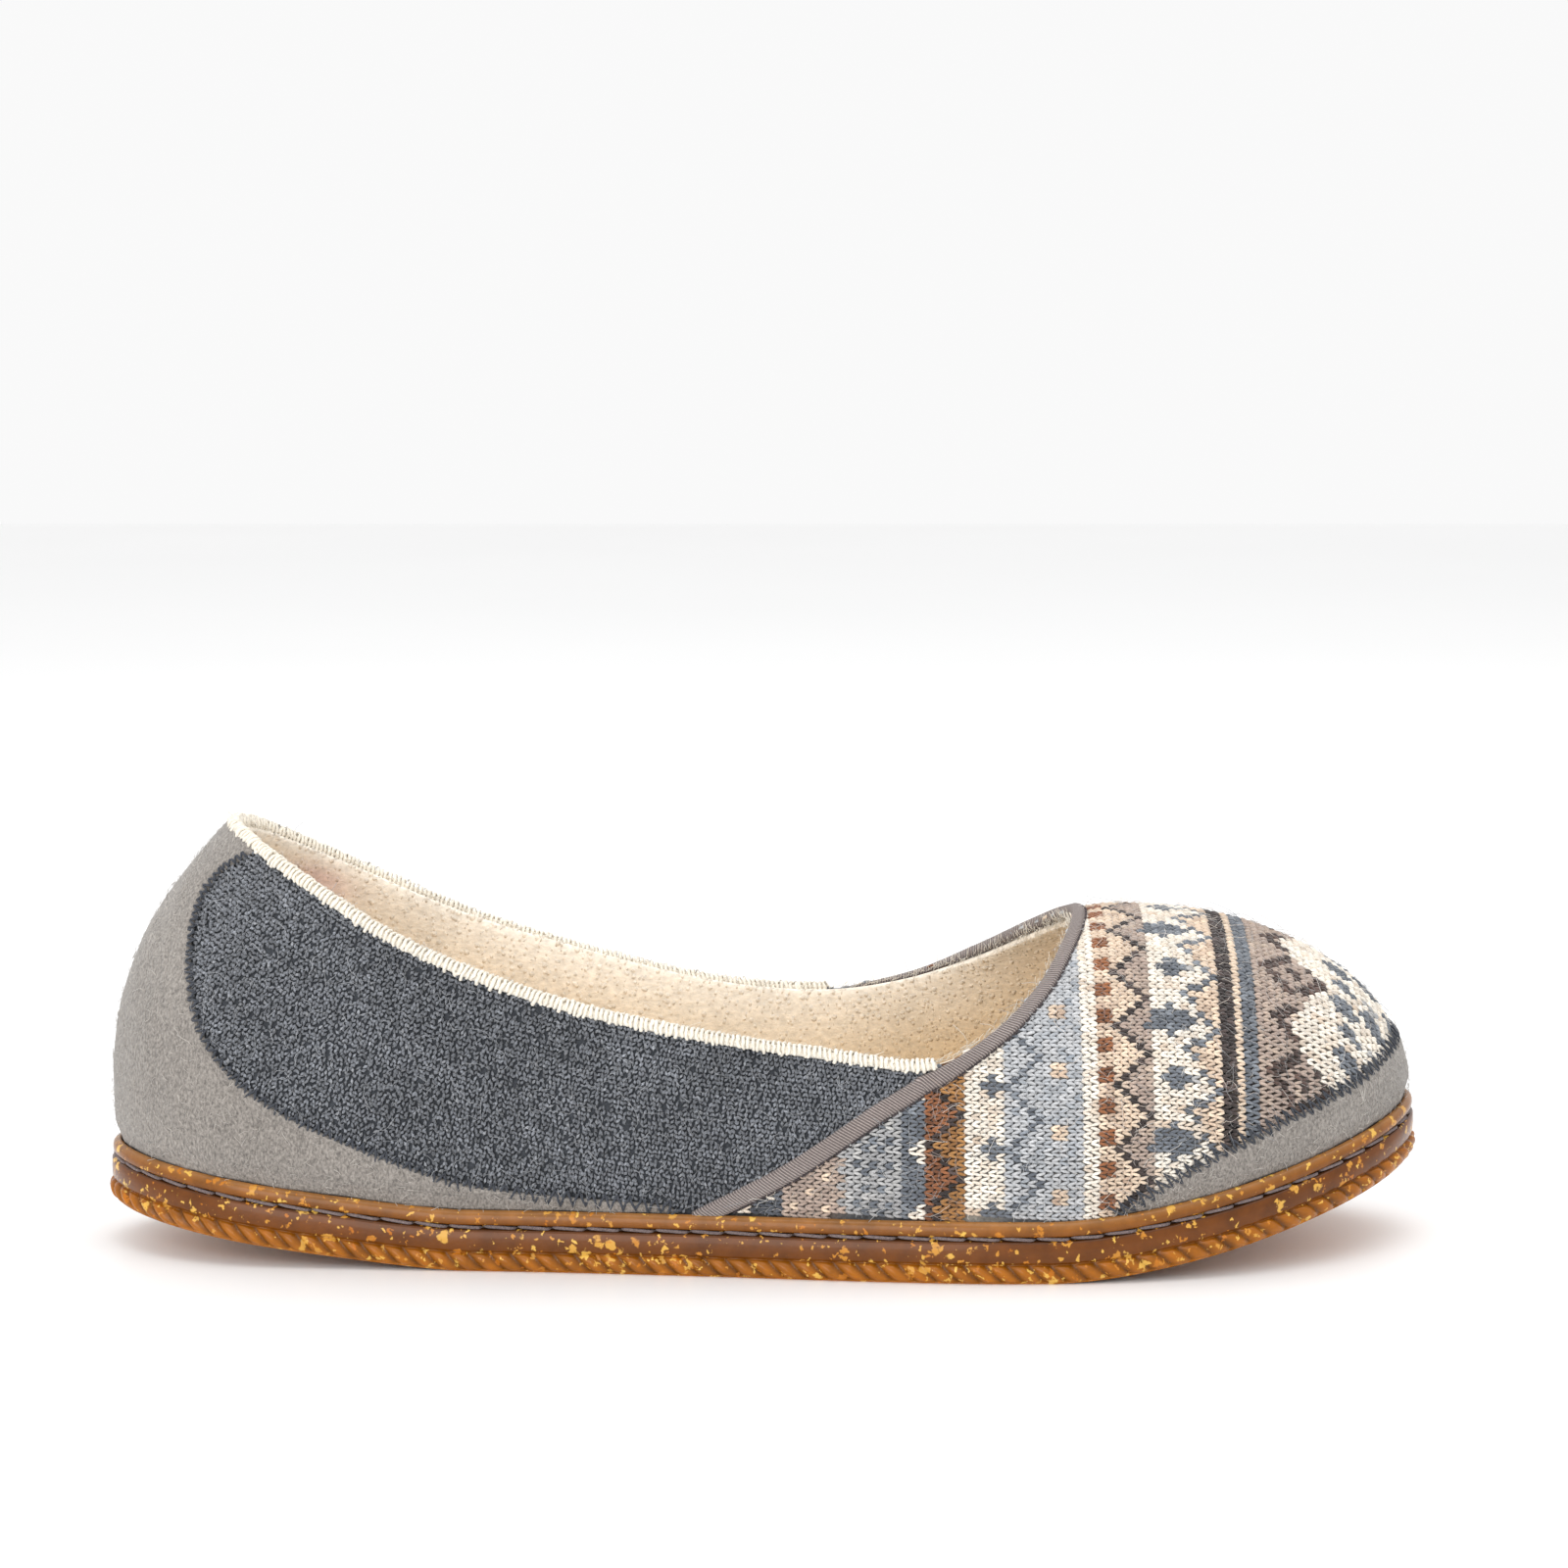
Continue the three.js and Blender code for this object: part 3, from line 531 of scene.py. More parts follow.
def make_rubber():
    """Amber rubber with golden flakes; the tone of each part of the side, painted shade included, comes with
    the mesh.
    """
    made, tree, shader = material(
        "gum_rubber", Roughness=0.27, IOR=1.5, Coat_Weight=0.12, Coat_Roughness=0.1, Specular_IOR_Level=0.22,
        Subsurface_Weight=0.06, Subsurface_Radius=(1.0, 0.5, 0.12), Subsurface_Scale=0.002)
    place = own_place(tree)
    depth = remap(tree, noise(tree, place, 190, 4, Roughness=0.6), 0.3, 0.7, 0.72, 1.25)
    amber = vector(tree, "SCALE", {0: yarn_colour(tree), "Scale": depth})
    bend = add(tree, "ShaderNodeTexNoise", {"Vector": place, "Scale": 700, "Detail": 2}).outputs["Color"]
    pushed = vector(tree, "MULTIPLY_ADD", {0: bend, 1: (0.0034,) * 3, 2: place})
    for size, share, reach in FLAKES:
        flakes = add(tree, "ShaderNodeTexVoronoi", {"Vector": pushed, "Scale": size, "Randomness": 1}).outputs
        chosen = add(tree, "ShaderNodeSeparateColor", {"Color": flakes["Color"]}).outputs
        near = remap(tree, flakes["Distance"], reach - 0.08, reach + 0.06, 0.9, 0)
        mask = maths(tree, "MULTIPLY", maths(tree, "GREATER_THAN", chosen[0], share), near)
        amber = mix(tree, mask, amber, mix(tree, chosen[1], "B86A10", "E8BC58"))
    surface(tree, shader, amber, noise(tree, place, 1100), 0.15, 0.0002)
    return made


RUBBER = make_rubber()

# %% Cup sole
BEAD_PITCH = 4.2
BEAD_DEPTH = 1.6  # crest of a bead to the notch beside it
BEAD_STEPS = 9
BEAD_SLANT = 1.05  # how far a bead leans along the sole for each millimetre of height
ROPE_MIDDLE = 1.95
ROPE_HALF = 1.65
ROPE_BULGE = 1.2
ROPE_ARC = (-78, 80)  # degrees of the rope's round section that show
ROPE_ROWS = 12
UNDERSIDE_INSET = 1.35
SIDE_PROFILE = np.array([  # inset from the outermost edge, height above the underside
    (1.3, 3.75), (0.85, 4.0), (0.62, 4.4), (0.55, 5.8), (0.6, 7.75), (0.9, 8.15), (1.6, 8.4), (2.0, 8.65),
    (1.7, 8.95), (1.15, 9.15), (0.9, 9.4), (0.8, 9.85), (0.82, 10.4), (1.0, 11.05), (1.35, 11.5),
    (1.8, 11.85), (2.2, 11.95), (2.5, 11.85), (2.6, 11.5), (2.95, 9.5), (3.5, 6.6), (4.0, 4.5)])
GROOVE = SIDE_PROFILE[7]

perimeter = run_of(outline(even_stations(2000)))[-1]
bead_count = round(perimeter / BEAD_PITCH)
columns = bead_count * BEAD_STEPS
stations = even_stations(columns)
turn = np.radians(np.linspace(*ROPE_ARC, ROPE_ROWS))
rope_rows = np.stack([ROPE_BULGE * (1 - np.cos(turn)), ROPE_MIDDLE + ROPE_HALF * np.sin(turn)], 1)


def bead_notch(height):
    """How far the rope's surface is pushed in at each column, for slanted round beads."""
    lean = (height - ROPE_MIDDLE) * BEAD_SLANT / BEAD_PITCH
    across = 2 * np.mod(np.arange(columns) / BEAD_STEPS + lean, 1) - 1
    round_face = 0.5 * across**2 + 0.5 * (1 - np.sqrt(1 - 0.98 * across**2))
    window = 1 - ((height - ROPE_MIDDLE) / (ROPE_HALF * 1.25)) ** 4
    return BEAD_DEPTH * round_face * window


rows = [edge_point(stations, UNDERSIDE_INSET, 0.0)]
rows += [edge_point(stations, inset + bead_notch(height), height) for inset, height in rope_rows]
rows += [edge_point(stations, inset, height) for inset, height in SIDE_PROFILE]
shell = np.array(rows)


def across_faces(ring, steps, under, offset, lowest):
    """Closes a ring that runs round the foot by rows across it. Returns new points and quads."""
    count = len(ring)
    half = count // 2
    index, points = [], []
    for i in range(1, half):
        far = (count - i) % count
        share = np.arange(1, steps) / steps
        inside = ring[i] + (ring[far] - ring[i]) * share[:, None]
        inside[:, 2] = under(inside)
        first = offset + len(points) * (steps - 1)
        index.append([lowest + i, *range(first, first + steps - 1), lowest + far])
        points.append(inside)
    index = np.array(index)
    quads = np.stack([index[:-1, :-1], index[:-1, 1:], index[1:, 1:], index[1:, :-1]], -1).reshape(-1, 4)
    start = np.stack([np.full(steps, lowest), index[0, 1:], index[0, :-1]], 1)
    finish = np.stack([np.full(steps, lowest + half), index[-1, :-1], index[-1, 1:]], 1)
    return np.concatenate(points), quads, np.concatenate([start, finish])


TREAD_PITCH = 6.2
TREAD_DEPTH = 0.7
TREAD_SWAY = 1.6  # how far a groove waves to and fro
TREAD_WAVE = 34  # length of such a wave
TREAD_ZONES = ((0.5, 8, 0.93, 14), (0.05, 12, 0.26, 12))  # ball and heel: start, rise, end and fall


def tread(p):
    """Underside with shallow wavy grooves under the ball and the heel."""
    sway = TREAD_SWAY * np.sin(p[:, 1] * 2 * math.pi / TREAD_WAVE)
    wave = np.cos(2 * math.pi * (p[:, 0] + sway) / TREAD_PITCH)
    share = p[:, 0] / LENGTH
    zone = sum(np.clip(rise * (share - start), 0, 1) * np.clip(fall * (end - share), 0, 1)
               for start, rise, end, fall in TREAD_ZONES)
    return spring(p[:, 0]) + TREAD_DEPTH * zone * np.clip(1.6 * wave - 0.4, 0, 1)


walls = ring_faces(len(shell), columns)[:, ::-1]
body = shell.reshape(-1, 3)
under_points, under_quads, under_ends = across_faces(shell[0], 10, tread, len(body), 0)
floor_points, floor_quads, floor_ends = across_faces(
    shell[-1], 5, lambda p: spring(p[:, 0]) + CUP_FLOOR,
    len(body) + len(under_points), (len(shell) - 1) * columns)
all_points = np.concatenate([body, under_points, floor_points])
above = all_points[:, 2] - spring(all_points[:, 0])
# The dark 2C170A at 8.4 and 8.9 is painted shade: the lip's shadow in the groove over the seam.
SIDE_TONES_AND_GROOVE_SHADE = {  # colour of the side at a height above the underside
    0: "A8640F", 3.3: "9A5A0E", 4.1: "6A3A0C", 7.9: "66370B", 8.4: "2C170A", 8.9: "2C170A",
    9.2: "75430F", 10.5: "84501A", 12: "96683A"}
PAINTED_NOTCH_SHADE = 0.8  # painted shade: how much darker the rubber's colour is made between two beads
levels = np.array([srgb(code) for code in SIDE_TONES_AND_GROOVE_SHADE.values()])
tones = np.stack([np.interp(above, list(SIDE_TONES_AND_GROOVE_SHADE), channel) for channel in levels.T], 1)
gaps = np.zeros(len(all_points))
gaps[columns:(1 + len(rope_rows)) * columns] = np.concatenate([bead_notch(height) for _, height in rope_rows])
# Painted shade between the beads, darkest where the notches are deepest.
tones *= 1 - PAINTED_NOTCH_SHADE * np.clip(gaps[:, None] / BEAD_DEPTH, 0, 1) ** 1.1
dress(build("outsole_rubber", all_points,
            [walls, under_quads, floor_quads[:, ::-1], under_ends, floor_ends[:, ::-1]], RUBBER, tones),
      "gum_rubber", "outsole")

# %% [markdown]
# A lockstitch runs round the sole in the groove. Each stitch shows as a short length of twisted grey thread
# that dives back into the rubber at both ends, so a stitch is a tube along the groove with its ends sunk.

# %% Sole seam
STITCH_PITCH = 6.7
STITCH_SHARE = 0.95  # length of a stitch as a share of its pitch
STITCH_GRID = 40  # fine steps to a stitch
THREAD_RADIUS = 0.34
THREAD_STEPS = 11

SEAM_THREAD = fibrous("seam_thread", "7F7170", 3200, 0.6, 0.1, 1.0, (1, 1, 2), 0.1)
seam_count = round(perimeter / STITCH_PITCH)
fine_stations = even_stations(STITCH_GRID * seam_count)
start = np.arange(seam_count)[:, None] * STITCH_GRID
step = np.linspace(0, STITCH_SHARE * STITCH_GRID, THREAD_STEPS)[None]
seam_u = np.interp(start + step, np.arange(STITCH_GRID * seam_count), fine_stations)
sink = 0.95 * np.abs(np.linspace(-1, 1, THREAD_STEPS)) ** 8
twist = np.linspace(0.3, -0.1, THREAD_STEPS)
seam_path = edge_point(seam_u, GROOVE[0] - 0.75 + sink, GROOVE[1] - 0.05 + twist)
dress(build("sole_seam_thread", *tubes(seam_path, THREAD_RADIUS, outward(seam_u)), SEAM_THREAD), "tape")

# %% [markdown]
# Inside lies a soft footbed covered in fleece. It is a pad, so it crowns in the middle and rolls down at
# its edge, and a foot has pressed it a little under the heel and the ball.

# %% Footbed
FLEECE = fibrous("brushed_fleece", "E9DBC4", 900, 0.2, 0.09, 1.0, (0.6, 1, 1))
FOOTBED_LOW = CUP_FLOOR + CLEARANCE
FOOTBED_HIGH = FOOTBED_LOW + 3
bed_inset = RIM_STEP + CUP_TAPER + WALL + 2 * CLEARANCE
bed_u = even_stations(260)
bed_rows = ((0.0, FOOTBED_LOW), (-0.2, FOOTBED_LOW + 1), (0.0, FOOTBED_LOW + 2.1), (0.8, FOOTBED_HIGH - 0.2),
            (2.0, FOOTBED_HIGH + 0.1))  # further in than the inset, height above the underside
bed = np.array([edge_point(bed_u, bed_inset + more, z) for more, z in bed_rows])
CROWN = 0.5
PRESSED = ((0.17, 24, 18, 0.9), (0.70, 30, 28, 0.8))  # place along the sole, reach along, across, and depth


def footbed_top(p):
    """Crowned top of the footbed, pressed in at the heel and the ball."""
    x, y = p[:, 0], p[:, 1]
    pressed = sum(depth * np.exp(-(((x - share * LENGTH) / far) ** 2) - (y / wide) ** 2)
                  for share, far, wide, depth in PRESSED)
    return spring(x) + FOOTBED_HIGH + CROWN - pressed + 0.12 * ripple(p, 7, 3)


bed_points = bed.reshape(-1, 3)
top_points, top_quads, top_ends = across_faces(bed[-1], 26, footbed_top, len(bed_points), 4 * len(bed_u))
low_points, low_quads, low_ends = across_faces(
    bed[0], 8, lambda p: spring(p[:, 0]) + FOOTBED_LOW, len(bed_points) + len(top_points), 0)
bed_faces = [ring_faces(5, len(bed_u))[:, ::-1], top_quads[:, ::-1], top_ends[:, ::-1], low_quads, low_ends]
footbed = build("fleece_footbed", np.concatenate([bed_points, top_points, low_points]), bed_faces, FLEECE)
dress(footbed, "fleece", "insole")

# %% [markdown]
# The upper is two cloths: a knit outside and a brushed fleece inside, turned under together into the cup.
# Both are closed shells cut from the same last, at their own depths. The outer one here is only the ground
# of the knit, the dark between the stitches, so its colour is painted shade: the colour of the yarn that lies
# over it, darkened.

# %% Yarns and bands of the vamp
YARNS = {letter: np.array([srgb(code) for code in codes.split()]) for letter, codes in {  # yarn, its flecks
    "c": "FBF3E6 D2BBA4",  # cream
    "b": "C5C6C8 8F98A2",  # pale blue-grey
    "g": "A9A9AA D8D6D2",  # grey
    "s": "676C74 989EA6",  # slate
    "d": "4B4F57 7C8088",  # charcoal
    "k": "37302F 6B5C58",  # black-brown
    "n": "493C38 7A6258",  # dark brown
    "r": "986240 4A3328",  # rust
    "o": "B0804C 6A4228",  # ochre
    "p": "EAD4BC B79C88",  # peach
    "t": "B19E92 CDB9A6",  # taupe
}.items()}
# Each band is a small chart: a word is a course of stitches from the outer side over to the inner side,
# a letter is a yarn, and the word repeats across the vamp. Courses run from the heel end to the toe.
BANDS = {
    "charcoal patch": """d kkddccdd kkddccdd d ddccddkk ddccddkk d kkddccdd kkddccdd d ddccddkk ddccddkk d
                         kkddccdd kkddccdd d""",
    "taupe": "t tttp t tptt t tttp t gt",
    "grey columns": "g gsggsggg sggsggsg gsggsggg sggsggsg gsggsggg g",
    "slate tips": "s ssscssss sscccsss",
    "rust zigzag": "rrrrkrrr rrrkokrr rrkoookr rkoooook kooooooo",
    "small diamonds": "c c ccccsccc cccssscc ccccsccc",
    "blue zigzag": "bbbbsbbb bbbsbsbb bbsbbbsb bsbbbbbs sbbbbbbb",
    "blue dots": "b bbbbbbpp bbbbbbpp b b",
    "cream line": "c c",
    "rust squares": "prrp prrp",
    "peach zigzag": "ppppkppp pppktkpp ppktttkp pktttttk ktttstttkttttttt",
    "large diamonds": """ccccsssccccccccc ccccsssccccccscc cccsssssccccsssc ccccssscccccsssc csccsssccscccscc
                         spsccsccspsccgcc""",
    "dotted chevrons": "ppscccsp pppscspp ppppsppp",
    "dark stripe": "k k",
    "peach line": "p",
    "slate stripe": "s s",
    "taupe line": "t",
    "hooked diamonds": """tntttttttttttttt nnnttttttntttttt ntnnttttnnnttttn tttnnttnntnnttnn ttntnntncccnttnt
                          tnntttcccccctttn nttttccccccccctn nnttnccccccccccc cnnncccccccccccc
                          ccnncccccccccccc""",
    "toe lozenges": """cscccccc sssccscc sssccssc sssccssc cscccscc cccscccc ccssscgc ccsssggc ccssscgc
                       cccscccc cscccccc sssccscc sssccssc cscccscc""",
}
COURSES = [course for chart in BANDS.values() for course in chart.split()]

# %% Courses of the vamp
VAMP_START = 112.0
COURSE_PITCH = 1.525
WALE_PITCH = 1.55
VAMP_END = 261.0
TOE_FALL_FROM = 0.74 * LENGTH  # courses crowd together in plan where the ridge falls to the toe

ridge_line = bare_skin(TOE_STATION, np.linspace(1, 0, 200))
ridge_slope = np.gradient(-ridge_line[:, 2], ridge_line[:, 0])
course_x = [VAMP_START]
while len(course_x) < len(COURSES) and course_x[-1] < VAMP_END:
    x = course_x[-1]
    slope = max(0.0, np.interp(x, ridge_line[:, 0], ridge_slope)) if x > TOE_FALL_FROM else 0.0
    course_x.append(x + COURSE_PITCH / math.sqrt(1 + 0.8 * slope**2))
course_x = np.array(course_x)
print("courses:", len(course_x), "of", len(COURSES), "ending at", round(course_x[-1], 1))

chance = np.random.default_rng(11)
FLECKS = (0.12, 0.28)  # share of flecks in a yarn, its middle and spread


def vary(low, high, count):
    """A column of chance values for so many stitches."""
    return chance.uniform(low, high, (count, 1))


def spun(courses, wales):
    """Melange yarn: each stitch shows its yarn's colour with a share of that yarn's flecks."""
    charts = [COURSES[int(course)] for course in courses]
    pairs = np.array([YARNS[chart[int(wale) % len(chart)]] for chart, wale in zip(charts, wales)])
    base, fleck = pairs[:, 0], pairs[:, 1]
    share = np.clip(chance.normal(*FLECKS, (len(base), 1)), 0, 0.85)
    return (base + (fleck - base) * share) * vary(0.88, 1.12, len(base))


def sized(lie, out, sizes):
    """Directions of seeds that lie along a cloth, their length, width and height by chance."""
    ways = lie, np.cross(out, lie), out
    return np.stack([way * vary(*size, len(lie)) for way, size in zip(ways, sizes)], 1)


def sow(name, seed, places, axes, yarn, tones, slot, *nodes):
    """Makes a piece out of seeds, each in its own tone."""
    dress(build(name, *stamp(seed, places, axes), yarn, np.repeat(tones, len(seed[0]), axis=0)), slot, *nodes)


# %% Ground of the knit, and the lining
GROUND = fibrous("knit_ground_shade", None, 1800, 0.3, 0.1, 0.8)
GAP_SHADE_SHARE = 0.38  # painted shade between the stitches: the ground's tone as a share of its band's
WALL_HEIGHTS = np.linspace(0, 1, 27)
shell_u = even_stations(300)


def wall_shell(outer, inner, top):
    """Closed shell of the upper between two depths, from its turned edge in the cup up to the collar."""
    outside, inside = ([edge_point(shell_u, RIM_STEP + CLEARANCE - off + CUP_TAPER * down,
                                   SOLE_HEIGHT - (SOLE_HEIGHT - CUP_FLOOR - CLEARANCE) * down)
                        for down in np.linspace(0, 1, 4)] for off in (outer, inner))
    rise = [layer(shell_u, h, outer) for h in WALL_HEIGHTS[1:]]
    lip = layer(shell_u, 1, (outer + inner) / 2) + unit(skin_frame(shell_u, 1)[1]) * top
    fall = [layer(shell_u, h, inner) for h in WALL_HEIGHTS[:0:-1]]
    return np.array(outside[::-1] + rise + [lip] + fall + inside).reshape(-1, 3)


row_h = np.concatenate([np.zeros(4), WALL_HEIGHTS[1:], [1], WALL_HEIGHTS[:0:-1], np.zeros(4)])
wall_faces = [ring_faces(len(row_h), len(shell_u), closed_rows=True)]
row_u = np.tile(shell_u, len(row_h))
row_h = np.repeat(row_h, len(shell_u))
wall = wall_shell(-0.55, -1.5, 0.1)
in_vamp = between_tapes(row_u, row_h)
# The ground's colour is painted shade: dark charcoal behind the quarters' loops, each course's yarn colour
# darkened behind the vamp.
ground_painted_shade = np.tile(np.array(srgb("43464B")), (len(wall), 1))
nearest = np.clip(np.searchsorted(course_x, wall[:, 0]), 0, len(course_x) - 1)
band_tone = np.array([np.mean([YARNS[letter][0] for letter in course], axis=0) for course in COURSES])
ground_painted_shade[in_vamp] = band_tone[nearest[in_vamp]] * GAP_SHADE_SHARE
dress(build("knit_ground_shade", wall, wall_faces, GROUND, ground_painted_shade), "knit", "upper")

LINING_TOP, LINING_DEEP_SHADE, LINING_STAIN = (np.array(srgb(code)) for code in ("F2E8D9", "E8CFA9", "CBA39F"))


def lining_colours_and_shade(u, depth):
    """Cream at the top, darker and more golden deep inside as painted shade, with a faint pink stain near the
    heel.
    """
    share = np.clip((depth - 2) / 24, 0, 1)[:, None]
    stain = 0.65 * np.exp(-(((u - 21.35) / 0.3) ** 2) - ((depth - 5) / 3.0) ** 2)[:, None]
    clean = LINING_TOP + (LINING_DEEP_SHADE - LINING_TOP) * share
    return clean + (LINING_STAIN - clean) * stain


BRUSHED = fibrous("brushed_lining", None, 900, 0.16, 0.07, 1.0, (0.6, 1, 1))
row_depth = (1 - row_h) * size_of(skin_frame(row_u, row_h)[1])
lining_tones_and_shade = lining_colours_and_shade(row_u, row_depth)
dress(build("fleece_lining", wall_shell(-1.6, -3.0, 0.35), wall_faces, BRUSHED, lining_tones_and_shade),
      "fleece", "upper")

# %% [markdown]
# The vamp is stranded colour knitting: each stitch is a V of two plump legs. A picture of a knit could
# never stand up to a close look, so every stitch is modelled. The vamp is sliced by a plane at each course,
# rays from inside find the skin in that plane, and stitches are set out along the slice at equal distances
# from the ridge. The chart above says which yarn each one is knitted with.

# %% Slices through the last
SLICE_STEPS = 150
MAX_WALES = 58
WALE_SHIFT = 2
THROAT_X = float(section(TOE_STATION, "top_along")) * LENGTH
WALE_SLOPE = 0.06  # how fast the wales fall towards the sole behind the throat
BENT_FROM, BENT_OVER, BENT_BY = 190, 60, 0.02 * LENGTH  # how the rays' axis follows the toe inwards

net_u = np.linspace(4.0, 20.0, 321)
net_h = np.linspace(0, 1, 71)
net = layer(net_u[:, None], net_h[None], 0)
net_faces = ring_faces(len(net_u), len(net_h), closed_columns=False)
net_triangles = np.concatenate([net_faces[:, [0, 1, 2]], net_faces[:, [0, 2, 3]]])
net_flat = net.reshape(-1, 3)
net_places = np.stack(np.meshgrid(net_u, net_h, indexing="ij"), -1).reshape(-1, 2)
tree_of_skin = BVHTree.FromPolygons(net_flat.tolist(), net_triangles.tolist())


def slice_points(x, side):
    """Points of the skin in the plane at x on one side, from the rim up to the ridge or the throat."""
    axis = Vector((x, BENT_BY * max(0, (x - BENT_FROM) / BENT_OVER), float(spring(x)) + SOLE_HEIGHT - 0.5))
    found, places = [], []
    for turn in np.radians(np.linspace(1, 90, SLICE_STEPS)):
        spot, _, face, _ = tree_of_skin.ray_cast(axis, Vector((0, side * math.cos(turn), math.sin(turn))))
        if spot is None:
            continue
        corners = net_triangles[face]
        weights = np.linalg.lstsq(net_flat[corners].T, np.array(spot), rcond=None)[0]
        found.append(spot)
        places.append(weights @ net_places[corners])
    return np.array(found), np.array(places)


slices = {}
for side in (-1, 1):
    for course, x in enumerate(course_x):
        spots, places = slice_points(float(x), side)
        if len(spots) > 2:
            slices[side, course] = (np.column_stack([spots, places]), run_of(spots))
first_front = {side: min(c for s, c in slices if s == side and course_x[c] > THROAT_X + 0.5)
               for side in (-1, 1)}

# %% Stitches of the vamp
UNDER_TAPE = 0.10  # stations from the tape's line to the first stitch
UNDER_BUMPER = 0.03  # how far the knit goes on below the bumper's edge
LEG_LENGTH = 1.42  # as a share of the courses' pitch
LEG_ASIDE, LEG_SPREAD, LEG_WIDTH = 0.25, 0.40, 0.52  # as shares of the wales' pitch
LEG_HEIGHT = 0.95


def vamp_places():
    """Every stitch that shows: its place, station and height, course and wale."""
    found = []
    for (side, course), (spots, run) in slices.items():
        whole = slices[side, first_front[side]][1][-1]
        behind = whole + WALE_SLOPE * (THROAT_X - course_x[course])
        wales = np.arange(MAX_WALES)
        distance = (run[-1] if course >= first_front[side] else behind) - (wales + 0.5) * WALE_PITCH
        on_skin = (distance > 0) & (distance < run[-1] + 0.01)
        spot = np.stack([np.interp(distance[on_skin], run, column) for column in spots.T], 1)
        index = (wales[on_skin] if side > 0 else -1 - wales[on_skin]) - WALE_SHIFT
        found.append(np.column_stack([spot, np.full(len(spot), course), index]))
    table = np.concatenate(found)
    u, h = table[:, 3], table[:, 4]
    return table[between_tapes(u, h, UNDER_TAPE) & (h > along(BUMPER_EDGE, u) - UNDER_BUMPER)]


vamp = vamp_places()
print("stitches of the vamp:", len(vamp))
SEED = seed_shape()
YARN = fibrous("vamp_yarn", None, 2600, 0.22, 0.05, 0.9, sheen=0.35)


def v_stitches(name, table):
    """Two legs to a stitch, that meet in a point towards the heel and nest in the next stitch."""
    course, count = table[:, 5].astype(int), len(table)
    out = skin_frame(table[:, 3], table[:, 4])[2]
    round_way = unit(np.cross(np.array([1.0, 0, 0]), out))
    toe_way = unit(np.cross(out, round_way))
    toe_way *= np.sign(toe_way[:, :1])
    pitch = (np.gradient(course_x)[course] / np.maximum(toe_way[:, 0], 0.35))[:, None]
    yarn = spun(course, table[:, 6])
    middles, axes, tones = [], [], []
    for hand in (-1, 1):
        jitter = chance.normal(0, 0.05, (count, 3))
        middles.append(table[:, :3] + hand * round_way * WALE_PITCH * LEG_ASIDE + out * 0.06 + jitter)
        leg = toe_way * pitch * LEG_LENGTH + hand * round_way * WALE_PITCH * LEG_SPREAD
        wide = unit(np.cross(out, leg)) * WALE_PITCH * LEG_WIDTH
        axes.append(np.stack([leg, wide, out * vary(0.85, 1.05, count) * LEG_HEIGHT], 1))
        tones.append(yarn * vary(0.93, 1.05, count))
    sow(name, SEED, *(np.concatenate(part) for part in (middles, axes)), YARN, np.concatenate(tones),
        "knit", "upper")


at_front = vamp[:, 5] > np.median(vamp[:, 5])
for name, part in (("vamp_knit_rear", ~at_front), ("vamp_knit_front", at_front)):
    v_stitches(name, vamp[part])

# %% [markdown]
# The quarters are a finer knit in one heather charcoal yarn, washed until it felts a little. Each stitch is
# again two legs, here small seeds that lean left and right by turns, each turned, sized and toned by chance.
# A few are left out, for the dark pinholes in that felted face.

# %% Charcoal quarters
ROW_PITCH = 0.92
LOOP_PITCH = 0.66
ROW_LENGTH = 560  # of a row right round the upper
ROWS_DEEP = 60
PINHOLE = 2.1  # loops are left out where the clumps of the felt rise above this
LOOP_SIZES = ((1.25, 1.7), (0.66, 0.9), (0.6, 0.9))  # length, width and height, least and most
SMALL_SEED = seed_shape(rings=1)

arc_u = np.linspace(0, STATIONS, 12 * STATIONS + 1)
arc_h = np.linspace(1, 0, 61)
fallen = [run_of(bare_skin(u, arc_h)) for u in arc_u]


def quarter_places():
    """Rows of loops below the collar on both quarters: stations, heights and which way each loop leans."""
    u = even_stations(int(ROW_LENGTH / LOOP_PITCH), 0.5)
    hand = np.where(np.arange(len(u)) % 2, 1.0, -1.0)
    found = []
    for row in range(int(ROWS_DEEP / ROW_PITCH)):
        depth = EDGING_LAP - 0.2 + row * ROW_PITCH
        h = np.interp(u, arc_u, [np.interp(depth, down, arc_h, right=-1) for down in fallen])
        edge = along(COUNTER_EDGE, h)
        outer = (u > edge - 0.06) & (u < along(BINDING_OUTER, h) + 0.02)
        inner = (STATIONS - u > edge * COUNTER_INNER_SHARE - 0.06) & (u > along(BINDING_INNER, h) - 0.02)
        shown = (h > 0) & (outer | inner)
        found.append(np.stack([u[shown], h[shown], hand[shown]], 1))
    return np.concatenate(found)


quarter = quarter_places()
clumps = ripple(bare_skin(quarter[:, 0], quarter[:, 1]), 4.5, 21) + 0.9 * chance.normal(0, 1, len(quarter))
quarter, clumps = quarter[clumps < PINHOLE], clumps[clumps < PINHOLE, None]
count, hand = len(quarter), quarter[:, 2:]
quarter = quarter[:, :2] + chance.normal(0, 1, (count, 2)) * np.array([0.006, 0.0025])
quarter[:, 1] = np.clip(quarter[:, 1], 0, 1)
around, _, out = skin_frame(*quarter.T)
around = unit(around)
angle = math.pi / 2 + hand * 0.5 + chance.normal(0, 0.3, (count, 1))
lie = around * np.cos(angle) + unit(np.cross(out, around)) * np.sin(angle)
axes = sized(lie, out, LOOP_SIZES)
heather = np.array(srgb("74777D")) * chance.lognormal(0, 0.17, (count, 1)) * (1.03 - 0.12 * clumps)
heather += (chance.random((count, 1)) > 0.97) * 0.10
